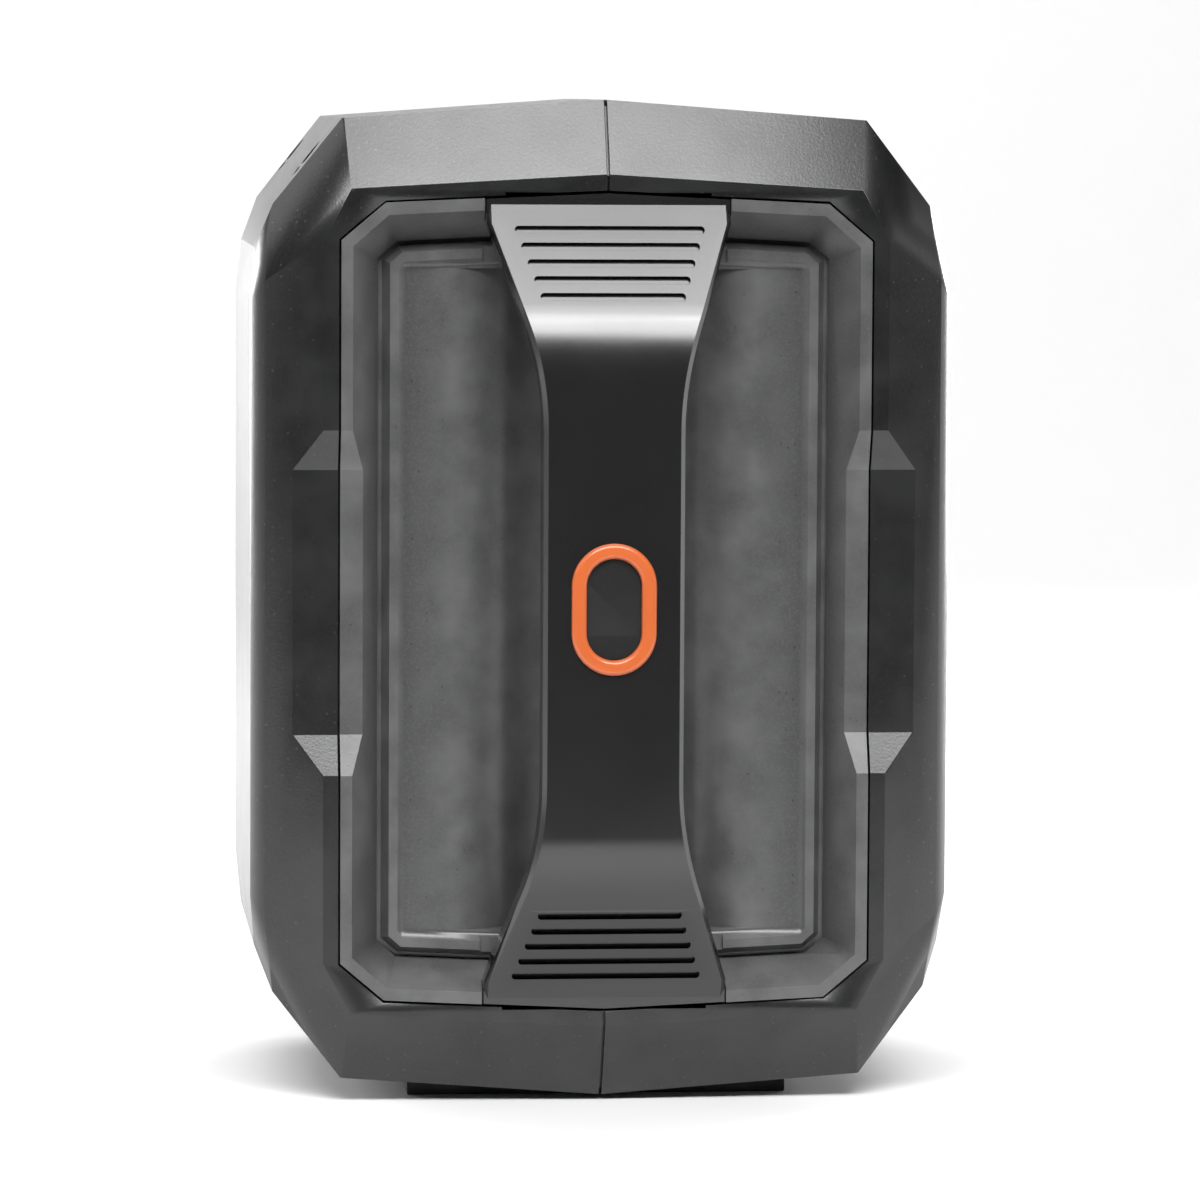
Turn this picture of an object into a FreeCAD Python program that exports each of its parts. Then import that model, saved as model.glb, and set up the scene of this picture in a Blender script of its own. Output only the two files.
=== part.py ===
import FreeCAD, Part

import math
import os
import re

import Sketcher
from FreeCAD import Placement, Rotation, Vector

# Portable jump starter pack in a faceted clamshell casing.
# Frame: +Z up, the carry handle faces -Y, the control panel faces +X. The origin is on the ground,
# under the middle of the whole object. All sizes are in millimetres.

# --------------------------------------------------------------------------- driving dimensions

SIZES = {
    # overall
    "body_width": 175.5,        # casing, along X
    "body_height": 249.2,       # casing, along Z, between the two ridge lines
    "body_depth": 125.0,        # casing, along Y, from handle rim to rear face
    "foot_drop": 1.4,           # ground to the lower ridge line
    "wall": 3.2,                # casing wall
    "seam": 0.6,                # gap between the casing halves
    # facets of the casing, as distances in from the overall box
    "top_corner_in": 22.35,     # side wall to the end of the top edge
    "ridge_fall": 4.85,         # fall of the top edge from its middle to its end
    "shoulder_in": 5.5,         # side wall to the shoulder corner
    "shoulder_down": 26.1,      # ridge line to the shoulder corner
    "hip_in": 1.15,             # side wall to the hip corner
    "hip_down": 37.1,           # ridge line to the hip corner
    "side_down": 50.1,          # ridge line to the start of the straight side
    "rim_in": 17.5,             # side wall to the rim face
    "rim_down": 18.35,          # ridge line to the rim face, in the middle
    "rim_corner_in": 24.25,     # side wall to the upper end of the rim's corner cut
    "rim_corner_down": 22.1,    # ridge line to the same point
    "rim_side_down": 34.85,     # ridge line to the lower end of the rim's corner cut
    "top_slope_depth": 9.25,    # depth of the top facet behind the rim
    "bevel_in": 3.35,           # side wall to the outer edge of the side bevel
    "bevel_depth": 7.4,         # depth of the side bevel
    "bevel_down": 45.1,         # ridge line to the side bevel's upper corner
    "band_depth": 14.5,         # depth of the steep side band
    "shoulder_depth": 14.0,     # depth of the shoulder corner
    "corner_slope": 0.95,       # depth per distance on the corner facet
    # notches in the rim, one each side
    "notch_depth": 3.9,
    "notch_half": 32.9,         # half length of the notch floor
    "notch_run": 10.0,          # length of each sloped end
    # handle tray
    "tray_gap": 0.5,            # gap between tray and casing all round
    "tray_in": 21.8,            # side wall to the tray's outer edge
    "tray_side_down": 34.8,     # ridge line to the tray's lower corner point
    "tray_corner_in": 32.7,     # side wall to the tray's upper corner point
    "tray_corner_down": 25.55,  # ridge line to the same point
    "tray_down": 22.9,          # ridge line to the tray's outer edge, in the middle
    "collar": 2.2,              # wall round the tray's opening, and thickness of its ledge
    "ledge": 3.4,               # tray edge to the inner edge of the ledge that carries it
    "tray_flange": 2.9,         # width of the flat lip round the tray
    "tray_wall": 2.2,
    "tray_bevel": 6.7,          # width of the bevel from the lip down to the moat
    "tray_bevel_depth": 9.6,    # depth of the same bevel
    "tray_slope": 3.0,          # draft of the recess wall, degrees
    "moat_depth": 12.0,         # depth of the recess round the ridge
    "moat_width": 10.3,         # tray edge to the foot of the ridge
    "ridge_depth": 7.6,         # depth of the ridge's crest behind the rim
    "ridge_slope": 22.0,        # draft of the ridge, degrees
    "ridge_crest": 4.4,         # foot of the ridge to its inner edge
    "floor_depth": 9.4,         # depth of the tray floor inside the ridge
    "floor_slope": 45.0,        # draft inside the ridge, degrees
    "ridge_gap_near": 11.5,     # tray edge to the gap in the ridge behind the handle
    "ridge_gap_far": 19.5,      # tray edge to the far side of that gap
    "ridge_gap_sink": 1.2,      # depth of that gap below the ridge
    "well_half": 38.0,          # half width of the finger well
    "well_bend": 20.0,          # radius of the well's upper bend
    "well_depth": 28.0,         # depth of the finger well behind the rim
    "well_end": 19.0,           # tray edge to the end of the finger well
    "seat_gap": 0.4,            # handle end to the side of its seat
    "seat_in": 5.0,             # handle's side to the side of its seat block
    "seat_length": 16.0,        # length of each handle seat
    "seat_depth": 4.0,          # handle seat behind the rim
    # carry handle
    "handle_proud": 20.0,       # top of the handle in front of the rim
    "handle_foot_half": 30.2,   # half width at the ends
    "handle_grip_half": 17.4,   # half width along the grip
    "handle_lip": 3.0,          # flat strip at each end
    "handle_thick": 9.5,
    "handle_slope": 35.7,       # tray edge to the flat top
    "handle_neck": 44.7,        # tray edge to the parallel sides
    "handle_heel": 7.7,         # tray edge to where the sides reach full width
    "handle_bend": 36.0,        # radius of the bends
    "handle_curve": 80.0,       # radius where the sides start to flare
    "handle_skin": 3.2,
    "handle_facet": 1.1,        # chamfer along the upper edges
    "groove_count": 5,
    "groove_first": 25.3,       # tray edge to the innermost groove
    "groove_pitch": 4.05,
    "groove_wide": 1.9,
    "groove_depth": 1.3,
    "groove_margin": 6.2,       # end of a groove to the handle's side
    "grip_thick": 2.6,
    "grip_in": 2.4,             # side of the handle to the side of the grip
    "grip_length": 104.0,
    "ring_half": 10.5,          # accent ring, half width
    "ring_reach": 16.25,        # accent ring, half length
    "ring_width": 3.75,
    "ring_proud": 1.3,
    "ring_seat": 1.4,
    "trim_gap": 0.06,
    # ground and rest pads
    "foot_half": 48.0,
    "foot_depth": 86.0,
    "foot_plate": 6.0,
    "pad_proud": 2.5,
    "pad_radius": 9.0,
    "pad_x": 52.0,
    "pad_down": 40.6,           # ridge line to the middle of a pad
    "pad_sink": 1.2,
    "foot_gap": 0.1,            # foot to its seat
    "foot_slots": 5,
    # screws
    "screw_shank": 1.6,         # radius of the casing and handle screws
    "screw_head": 3.7,
    "head_gap": 0.6,            # screw head to its well
    "shank_gap": 0.6,           # screw shank to its clearance hole
    "thread_gap": 0.05,         # screw shank to its pilot hole
    "boss_wall": 2.0,           # screw well to the outside of its boss
    "screw_head_high": 2.6,
    "screw_grip": 12.0,         # screw head to the seam
    "screw_bite": 13.0,         # thread beyond the seam
    "boss_down": 15.1,          # end bosses, from the ridge line
    "boss_front": 25.0,         # end bosses, behind the rim
    "boss_rear": 1.7,           # battery to the rear end bosses
    "boss_mid": 41.0,           # rear middle bosses, from mid-height
    "boss_back": 7.7,           # battery to the rear middle bosses
    "small_head": 2.6,          # panel and board screws
    "small_shank": 1.25,
    "small_length": 6.0,
    "small_gap": 0.2,           # small screw to its clearance hole
    "small_thread": 0.03,       # small screw to its pilot hole
    "handle_screw_x": 18.0,     # middle of the handle to its screws
    "handle_screw_in": 8.0,     # tray edge to the handle screws
    # control panel
    "panel_half": 40.0,         # half width, along Y
    "panel_down": 33.1,         # ridge line to the panel's end
    "panel_cut": 12.0,          # corner cut
    "panel_gap": 0.35,
    "panel_proud": 0.6,
    "panel_sink": 2.0,
    "panel_lap": 6.0,
    "lens_thick": 1.3,
    "lens_gap": 0.15,
    "lamp_z": 60.0,
    "lamp_half": 26.0,
    "lamp_high": 8.5,
    "display_z": 34.0,
    "display_half": 25.0,
    "display_high": 12.0,
    "window_lap": 2.6,
    "button_z": 8.0,
    "button_pitch": 23.0,
    "power_radius": 9.0,
    "side_radius": 7.0,
    "button_gap": 0.25,
    "button_proud": 1.4,
    "button_travel": 1.2,
    "button_flange": 1.5,
    "board_gap": 9.0,           # back of the panel to the control board
    "board_thick": 1.6,
    # ports
    "bay_half": 31.0,
    "bay_depth": 12.0,
    "bay_wall": 1.8,
    "port_top": -9.0,
    "port_high": 30.0,
    "jump_top": -44.0,
    "jump_high": 28.0,
    "jump_half": 24.0,
    "cover_gap": 0.4,
    "ear_gap": 0.8,             # hinge ear to the leaf below it
    "cover_thick": 2.2,
    "knuckle": 2.0,
    "pin_radius": 1.0,
    "pin_gap": 0.04,
    "ear": 3.4,
    "usb_a_half": 6.6,
    "usb_a_high": 2.9,          # half height of the shell
    "usb_c_half": 4.6,
    "usb_c_high": 1.75,
    "port_depth": 12.0,         # back of the bay to the port board
    "port_gap": 0.1,            # port to its hole in the bay
    "jack_radius": 5.0,
    "socket_half": 7.5,         # half height of the jump socket's housing
    "socket_key": 4.5,          # keying chamfer on the housing
    "socket_radius": 5.0,
    "socket_pitch": 18.0,
    # battery and power parts
    "battery_x": 94.0,
    "battery_y": 65.0,
    "battery_z": 144.0,
    "battery_lid_high": 7.0,
    "battery_low": 22.0,        # underside of the battery above the ground
    "battery_in": 17.75,        # side wall to the battery
    "battery_gap": 3.8,         # finger well to the battery
    "foam": 4.0,
    "strap": 1.5,               # thickness of the battery's clamp strap
    "terminal": 6.0,            # half size and length of a terminal block
    "power_gap": 16.0,          # battery to the power board
    "power_drop": 70.0,         # top of the battery down to the board's lower edge
    "power_rise": 30.0,         # top of the battery up to the board's upper edge
    "fuse_stud": 2.5,
    "lead_radius": 2.8,
}

doc = FreeCAD.newDocument("jump_starter")
sheet = doc.addObject("Spreadsheet::Sheet", "Sheet")
for row, (alias, value) in enumerate(SIZES.items(), 1):
    sheet.set(f"A{row}", str(value))
    sheet.setAlias(f"A{row}", alias)
doc.recompute()


class Numbers:
    """Reads a named size from the sheet as a plain number."""

    def __getattr__(self, name):
        return float(sheet.get(name))


dim = Numbers()

# Places that many pieces share, as formulas of the sheet's names.
RIM = "((body_depth + pad_proud + handle_proud) / -2 + handle_proud)"
REAR = f"({RIM} + body_depth)"
MIDDLE = f"({RIM} + body_depth / 2)"
MID = "(foot_drop + body_height / 2)"
SIDE = "(body_width / 2)"
FACE = f"({SIDE} + panel_proud)"
BACK = f"({SIDE} - panel_sink)"
BOARD = f"({BACK} - board_gap)"

# The rim's depth and the middle height once more, as numbers, for shapes made with Part's own functions.
RIM_Y = (dim.handle_proud - dim.body_depth - dim.pad_proud) / 2
MID_Z = dim.foot_drop + dim.body_height / 2

# --------------------------------------------------------------------------- modelling helpers

WORD = re.compile(r"[a-z][a-z_]+")
PIECES = {}
CORNERS = ((-1, -1), (1, -1), (-1, 1), (1, 1))


def bind(thing, prop, formula):
    """Ties a property to a formula of the sheet's names."""
    text = WORD.sub(lambda m: f"Sheet.{m.group(0)}" if m.group(0) in SIZES else m.group(0), str(formula))
    thing.setExpression(prop, text)


def piece(name, thing):
    """Marks a finished sub-part, which is written to a file of the same name."""
    thing.Label = name
    PIECES[name] = thing
    return thing


def block(name, x, y, z):
    """Box between three pairs of formulas."""
    box = doc.addObject("Part::Box", name)
    for prop, axis, (low, high) in (("Length", "x", x), ("Width", "y", y), ("Height", "z", z)):
        bind(box, prop, f"({high}) - ({low})")
        bind(box, f"Placement.Base.{axis}", low)
    return box


TURNS = {
    "x": Rotation(Vector(0, 1, 0), 90),
    "y": Rotation(Vector(1, 0, 0), -90),
    "z": Rotation(),
}


def rod(name, axis, low, high, radius, **centre):
    """Cylinder along an axis between two formulas, centred by the other two coordinates."""
    solid = doc.addObject("Part::Cylinder", name)
    bind(solid, "Radius", radius)
    bind(solid, "Height", f"({high}) - ({low})")
    solid.Placement = Placement(Vector(), TURNS[axis])
    for letter, place in {**centre, axis: low}.items():
        bind(solid, f"Placement.Base.{letter}", place)
    return solid


def fuse(name, *things):
    """Union of several solids."""
    joined = doc.addObject("Part::MultiFuse", name)
    joined.Shapes = list(things)
    joined.Refine = True
    return joined


def cut(name, base, *tools):
    """Base less the tools."""
    result = doc.addObject("Part::Cut", name)
    result.Base = base
    result.Tool = tools[0] if len(tools) == 1 else fuse(f"{name}_tools", *tools)
    result.Refine = True
    return result


def common(name, *things):
    """What several solids share."""
    shared = doc.addObject("Part::MultiCommon", name)
    shared.Shapes = list(things)
    shared.Refine = True
    return shared


def group(name, *things):
    """Separate solids kept as one sub-part."""
    bundle = doc.addObject("Part::Compound", name)
    bundle.Links = list(things)
    return bundle


PLANES = {"z": "XY_Plane", "y": "XZ_Plane", "x": "YZ_Plane"}


def outline(body, name, axis, points):
    """Closed polygon on a plane of the body, each corner held by two formulas."""
    sketch = body.newObject("Sketcher::SketchObject", name)
    plane = next(f for f in body.Origin.OriginFeatures if f.Role == PLANES[axis])
    sketch.AttachmentSupport = [(plane, "")]
    sketch.MapMode = "FlatFace"
    count = len(points)
    rough = [Vector(math.cos(2 * math.pi * i / count), math.sin(2 * math.pi * i / count), 0) * 50
             for i in range(count)]
    for i in range(count):
        sketch.addGeometry(Part.LineSegment(rough[i], rough[(i + 1) % count]), False)
    for i in range(count):
        sketch.addConstraint(Sketcher.Constraint("Coincident", i, 2, (i + 1) % count, 1))
    for i, (across, up) in enumerate(points):
        for kind, formula, start, other in (
            ("DistanceX", across, rough[i].x, -2),
            ("DistanceY", up, rough[i].y, -1),
        ):
            if formula == "0":
                sketch.addConstraint(Sketcher.Constraint("PointOnObject", i, 1, other))
                continue
            index = sketch.addConstraint(Sketcher.Constraint(kind, -1, 1, i, 1, start))
            label = f"{kind[-1].lower()}{i}"
            sketch.renameConstraint(index, label)
            bind(sketch, f"Constraints.{label}", formula)
    return sketch


def along(edge, axis):
    """True for a straight edge that runs along an axis."""
    if edge.Curve.TypeId != "Part::GeomLine":
        return False
    return abs(abs(getattr(edge.tangentAt(edge.FirstParameter), axis)) - 1) < 1e-6


def prism(name, axis, points, low, high, rounding=None, pick=None):
    """Polygon padded along an axis from low to high.

    rounding is the radius of a fillet on the edges along the axis, or on those that pick accepts.
    """
    body = doc.addObject("PartDesign::Body", name)
    sketch = outline(body, f"{name}_outline", axis, points)
    # The XZ plane faces -Y, so its pad starts at the high end and runs to the low end.
    start = f"0 - ({high})" if axis == "y" else low
    bind(sketch, "AttachmentOffset.Base.z", start)
    pad = body.newObject("PartDesign::Pad", f"{name}_pad")
    pad.Profile = sketch
    bind(pad, "Length", f"({high}) - ({low})")
    if rounding:
        doc.recompute()
        fillet = body.newObject("PartDesign::Fillet", f"{name}_round")
        chosen = [
            f"Edge{i}" for i, edge in enumerate(pad.Shape.Edges, 1)
            if along(edge, axis) and (pick is None or pick(edge.CenterOfMass))
        ]
        fillet.Base = (pad, chosen)
        bind(fillet, "Radius", rounding)
    return body


def turned(name, profile, facing, **place):
    """Revolved solid: profile gives (radius, height) formulas, height points along facing."""
    body = doc.addObject("PartDesign::Body", name)
    sketch = outline(body, f"{name}_section", "y", profile)
    spin = body.newObject("PartDesign::Revolution", f"{name}_spin")
    spin.Profile = sketch
    spin.ReferenceAxis = (sketch, ["V_Axis"])
    spin.Angle = 360
    body.Placement = Placement(Vector(), Rotation(Vector(0, 0, 1), Vector(*facing)))
    for letter, formula in place.items():
        bind(body, f"Placement.Base.{letter}", formula)
    return body


def stadium(name, half, reach, low, high, x="0", z=MID):
    """Round-ended bar along Z, padded along Y."""
    parts = [
        block(f"{name}_bar", (f"{x} - ({half})", f"{x} + ({half})"), (low, high),
              (f"{z} - (({reach}) - ({half}))", f"{z} + (({reach}) - ({half}))")),
        rod(f"{name}_top", "y", low, high, half, x=x, z=f"{z} + (({reach}) - ({half}))"),
        rod(f"{name}_foot", "y", low, high, half, x=x, z=f"{z} - (({reach}) - ({half}))"),
    ]
    return fuse(name, *parts)


# --------------------------------------------------------------------------- faceted casing form


def casing_planes():
    """Outer planes of the casing, as (point, outward direction) pairs."""
    wide = dim.body_width / 2
    high = dim.body_height / 2
    deep = dim.body_depth

    # corner points of the front upper right eighth: (out, behind the rim, up)
    rim_mid = Vector(0, 0, high - dim.rim_down)
    rim_top = Vector(wide - dim.rim_corner_in, 0, high - dim.rim_corner_down)
    rim_side = Vector(wide - dim.rim_in, 0, high - dim.rim_side_down)
    crown = Vector(0, dim.top_slope_depth, high)
    crown_end = Vector(wide - dim.top_corner_in, dim.top_slope_depth, high - dim.ridge_fall)
    shoulder = Vector(wide - dim.shoulder_in, dim.shoulder_depth, high - dim.shoulder_down)
    hip = Vector(wide - dim.hip_in, dim.shoulder_depth, high - dim.hip_down)
    bevel = Vector(wide - dim.bevel_in, dim.bevel_depth, high - dim.bevel_down)
    side = Vector(wide, dim.band_depth, high - dim.side_down)
    back = Vector(0, 1, 0)
    up = Vector(0, 0, 1)
    cut_line = rim_side - rim_top
    cut_out = Vector(-cut_line.z, 0, cut_line.x).normalize()
    if cut_out.x < 0:
        cut_out = cut_out * -1
    corner_run = cut_out + back * dim.corner_slope

    triples = [
        (rim_mid, Vector(1, 0, 0), up),
        (rim_mid, rim_top - rim_mid, crown - rim_mid),
        (rim_side, up, bevel - rim_side),
        (bevel, up, side - bevel),
        (rim_top, cut_line, corner_run),
        (shoulder, bevel - shoulder, side - shoulder),
        (crown, back, crown_end - crown),
        (crown_end, back, shoulder - crown_end),
        (shoulder, back, hip - shoulder),
        (hip, back, side - hip),
        (side, back, up),
    ]
    centre = Vector(0, deep / 2, 0)
    planes = {}
    for point, first, second in triples:
        normal = first.cross(second).normalize()
        if normal.dot(point - centre) < 0:
            normal = normal * -1
        for flip_x in (1, -1):
            for flip_y in (1, -1):
                for flip_z in (1, -1):
                    where = Vector(point.x * flip_x, point.y, point.z * flip_z)
                    if flip_y < 0:
                        where.y = deep - where.y
                    out = Vector(normal.x * flip_x, normal.y * flip_y, normal.z * flip_z)
                    key = tuple(round(v, 5) + 0.0 for v in (out.x, out.y, out.z))
                    planes[key] = (where, out)
    return planes.values()


def casing_form(name, grow):
    """Solid of the casing's outer planes, each moved outwards by grow.

    The planes are oblique in all three directions, so they are cut with Part's own functions.
    """
    origin = Vector(0, RIM_Y, MID_Z)
    size = dim.body_width + dim.body_height + dim.body_depth
    solid = Part.makeBox(size, size, size, Vector(-size / 2, -size / 2, -size / 2))
    for point, out in casing_planes():
        slab = Part.makeBox(2 * size, 2 * size, size, Vector(-size, -size, 0))
        slab.Placement = Placement(point + out * grow, Rotation(Vector(0, 0, 1), out))
        solid = solid.cut(slab)
    solid.translate(origin)
    form = doc.addObject("Part::Feature", name)
    form.Shape = solid
    return form


outer_form = casing_form("outer_form", 0)
cavity_form = casing_form("cavity_form", -dim.wall)
lip_form = casing_form("lip_form", -dim.wall * 0.5)
groove_form = casing_form("groove_form", -dim.wall * 0.5 + 0.15)
seat_form = casing_form("seat_form", -dim.panel_sink)
skin_form = casing_form("skin_form", dim.panel_proud)
plate_form = casing_form("plate_form", -dim.panel_sink + 0.05)

FAR = "body_width"


def notch(name, grow):
    """Bar that cuts the two notches into the rim, grown by a wall when it shapes the inside."""
    floor = f"{RIM} + notch_depth + ({grow})"
    front = f"{RIM} - wall"
    slope = "(notch_run * (notch_depth + wall) / notch_depth)"
    points = [
        (floor, f"{MID} - (notch_half + ({grow}))"),
        (floor, f"{MID} + (notch_half + ({grow}))"),
        (front, f"{MID} + (notch_half + ({grow}) + {slope})"),
        (front, f"{MID} - (notch_half + ({grow}) + {slope})"),
    ]
    return prism(name, "x", points, f"0 - {FAR}", FAR)


notch_cut = notch("notch_cut", "0")
notch_keep = notch("notch_keep", "wall")


def tray_edge(inset):
    """Ten-sided outline of the tray, moved inwards by inset."""
    side = f"({SIDE} - tray_in - ({inset}))"
    low = f"(body_height / 2 - tray_side_down - 0.47 * ({inset}))"
    corner = f"({SIDE} - tray_corner_in - 0.36 * ({inset}))"
    high = f"(body_height / 2 - tray_corner_down - ({inset}))"
    peak = f"(body_height / 2 - tray_down - ({inset}))"
    return [
        ("0", f"{MID} + {peak}"),
        (corner, f"{MID} + {high}"),
        (side, f"{MID} + {low}"),
        (side, f"{MID} - {low}"),
        (corner, f"{MID} - {high}"),
        ("0", f"{MID} - {peak}"),
        (f"0 - {corner}", f"{MID} - {high}"),
        (f"0 - {side}", f"{MID} - {low}"),
        (f"0 - {side}", f"{MID} + {low}"),
        (f"0 - {corner}", f"{MID} + {high}"),
    ]


def panel_edge(inset):
    """Eight-sided outline of the control panel, moved inwards by inset."""
    half = f"(panel_half - ({inset}))"
    reach = f"(body_height / 2 - panel_down - ({inset}))"
    cut_y = f"({half} - panel_cut + 0.41 * ({inset}))"
    cut_z = f"({reach} - panel_cut + 0.41 * ({inset}))"
    signs = [(1, 1, 0), (1, 1, 1), (-1, 1, 1), (-1, 1, 0), (-1, -1, 0), (-1, -1, 1), (1, -1, 1), (1, -1, 0)]
    points = []
    for y_sign, z_sign, at_end in signs:
        y = cut_y if at_end else half
        z = reach if at_end else cut_z
        points.append((f"{MIDDLE} + {y_sign} * {y}", f"{MID} + {z_sign} * {z}"))
    return points


# --------------------------------------------------------------------------- casing halves

SEAT_HALF = "(handle_foot_half + seat_gap)"
SEAT_BLOCK = "(handle_foot_half - seat_in)"
WELL = "(screw_head + head_gap)"
HOLE = "(screw_shank + shank_gap)"
PILOT = "(screw_shank + thread_gap)"
BOSS = "(screw_head + head_gap + boss_wall)"
BATTERY_FRONT = f"({RIM} + well_depth + tray_wall + battery_gap)"
BATTERY_BACK = f"({BATTERY_FRONT} + battery_y)"
BATTERY_LEFT = f"(battery_in - {SIDE})"
BATTERY_RIGHT = f"({BATTERY_LEFT} + battery_x)"
BATTERY_TOP = "(battery_low + battery_z)"
BOSS_HIGH = "(body_height / 2 - boss_down)"
BOSSES = [
    ("front_top", f"{RIM} + boss_front", f"{MID} + {BOSS_HIGH}"),
    ("front_foot", f"{RIM} + boss_front", f"{MID} - {BOSS_HIGH}"),
    ("rear_top", f"{BATTERY_BACK} + {BOSS} + boss_rear", f"{MID} + {BOSS_HIGH}"),
    ("rear_foot", f"{BATTERY_BACK} + {BOSS} + boss_rear", f"{MID} - {BOSS_HIGH}"),
    ("back_top", f"{BATTERY_BACK} + {BOSS} + boss_back", f"{MID} + boss_mid"),
    ("back_foot", f"{BATTERY_BACK} + {BOSS} + boss_back", f"{MID} - boss_mid"),
]
TRAY_PEAK = "(body_height / 2 - tray_down)"
LEDGE = f"({RIM} + tray_wall + notch_depth + 0.2)"
FOOT_FRONT = f"({MIDDLE} - foot_depth / 2)"
FOOT_BACK = f"({MIDDLE} + foot_depth / 2)"
PADS = [
    (i, f"{sx} * pad_x", f"{MID} + {sz} * (body_height / 2 - pad_down)")
    for i, (sx, sz) in enumerate(CORNERS)
]
HANDLE_SCREWS = [
    (i, f"{sx} * handle_screw_x", f"{MID} + {sz} * ({TRAY_PEAK} - handle_screw_in)")
    for i, (sx, sz) in enumerate(CORNERS)
]
PANEL_SCREWS = [
    (i, f"{MIDDLE} + {sy} * (panel_half - 3.6)",
     f"{MID} + {sz} * (body_height / 2 - panel_down - panel_cut - 12)")
    for i, (sy, sz) in enumerate(CORNERS)
]


def casing_half(name, hand):
    """One half of the clamshell, with its ribs, bosses and openings. hand is -1 left, 1 right."""
    shell = cut(f"{name}_wall", outer_form, cut(f"{name}_hollow", cavity_form, notch_keep))
    ribs = [
        rod(f"{name}_boss_{spot}", "x", f"0 - {FAR}", FAR, BOSS, y=y, z=z)
        for spot, y, z in BOSSES
    ]
    for i, place in enumerate((f"{BATTERY_FRONT} + 4", f"{MIDDLE} + 8", f"{BATTERY_BACK} - 4")):
        ribs.append(block(f"{name}_rib_{i}", (f"0 - {FAR}", FAR), (f"{place} - 1.2", f"{place} + 1.2"),
                          ("0", "battery_low - foam")))
    for i, level in enumerate(("battery_low + 30", "battery_low + 90")):
        ribs.append(block(f"{name}_stay_{i}", (f"0 - {FAR}", BATTERY_LEFT), (BATTERY_FRONT, BATTERY_BACK),
                          (f"{level} - 1.2", f"{level} + 1.2")))
    ribs.append(prism(f"{name}_collar", "y", tray_edge("0 - tray_gap - collar"), f"{RIM} + 1",
                      f"{LEDGE} + collar"))
    inside = common(f"{name}_ribs", fuse(f"{name}_rib_set", *ribs), outer_form)
    whole = fuse(f"{name}_solid", shell, inside)
    keep = ("seam / 2", FAR) if hand > 0 else (f"0 - {FAR}", "0 - seam / 2")
    half = common(f"{name}_side", whole,
                  block(f"{name}_space", keep, (f"0 - {FAR}", FAR), (f"0 - {FAR}", f"2 * {FAR}")))
    if hand < 0:
        ring = common("seam_lip", cut("lip_band", lip_form, cavity_form),
                      block("lip_space", ("0 - 6", "4"), (f"0 - {FAR}", FAR), (f"0 - {FAR}", f"2 * {FAR}")))
        half = fuse(f"{name}_lipped", half, ring)

    tools = [notch_cut]
    tools.append(prism(f"{name}_mouth", "y", tray_edge("0 - tray_gap"), f"{RIM} - 9", LEDGE))
    tools.append(prism(f"{name}_throat", "y", tray_edge("ledge"), f"{RIM} - 9", f"{LEDGE} + collar + 1"))
    tools.append(block(f"{name}_seat_gap",
                       (f"0 - {SEAT_BLOCK} - seat_gap", f"{SEAT_BLOCK} + seat_gap"),
                       (RIM, f"{LEDGE} + collar + 1"), (f"{MID} - {TRAY_PEAK}", f"{MID} + {TRAY_PEAK}")))
    for spot, y, z in BOSSES:
        if hand < 0:
            tools.append(rod(f"{name}_well_{spot}", "x", f"0 - {FAR}", "0 - screw_grip", WELL, y=y, z=z))
            tools.append(rod(f"{name}_hole_{spot}", "x", "0 - screw_grip - 1", "8", HOLE, y=y, z=z))
        else:
            tools.append(rod(f"{name}_pilot_{spot}", "x", "0", "screw_bite + 2", PILOT, y=y, z=z))
    for i, x, z in PADS:
        tools.append(rod(f"{name}_pad_seat_{i}", "y", f"{REAR} - pad_sink", f"{REAR} + 9",
                         "pad_radius + trim_gap", x=x, z=z))
    tools.append(block(f"{name}_foot_seat", ("0 - foot_half - foot_gap", "foot_half + foot_gap"),
                       (f"{FOOT_FRONT} - foot_gap", f"{FOOT_BACK} + foot_gap"), ("0 - 9", "foot_plate")))
    if hand > 0:
        tools.append(common("lip_groove", cut("lip_groove_band", groove_form, cavity_form),
                            block("lip_groove_space", ("0", "4.4"), (f"0 - {FAR}", FAR),
                                  (f"0 - {FAR}", f"2 * {FAR}"))))
        seat = prism("panel_seat", "x", panel_edge("0 - panel_gap"), "0", FAR)
        tools.append(cut("panel_seat_cut", seat, seat_form))
        for i, y, z in PANEL_SCREWS:
            tools.append(rod(f"{name}_panel_pilot_{i}", "x", "0.5 * body_width - 12", FAR,
                             "small_shank + small_thread", y=y, z=z))
        tools.append(prism("panel_window", "x", panel_edge("panel_lap"), "0.5 * body_width - 30", FAR))
    body = cut(name, half, *tools)
    return piece(name, body)


casing_half("left_shell", -1)
casing_half("right_shell", 1)

# --------------------------------------------------------------------------- handle tray

MOAT = f"({RIM} + moat_depth)"
SEAT = f"({RIM} + seat_depth)"


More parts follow.
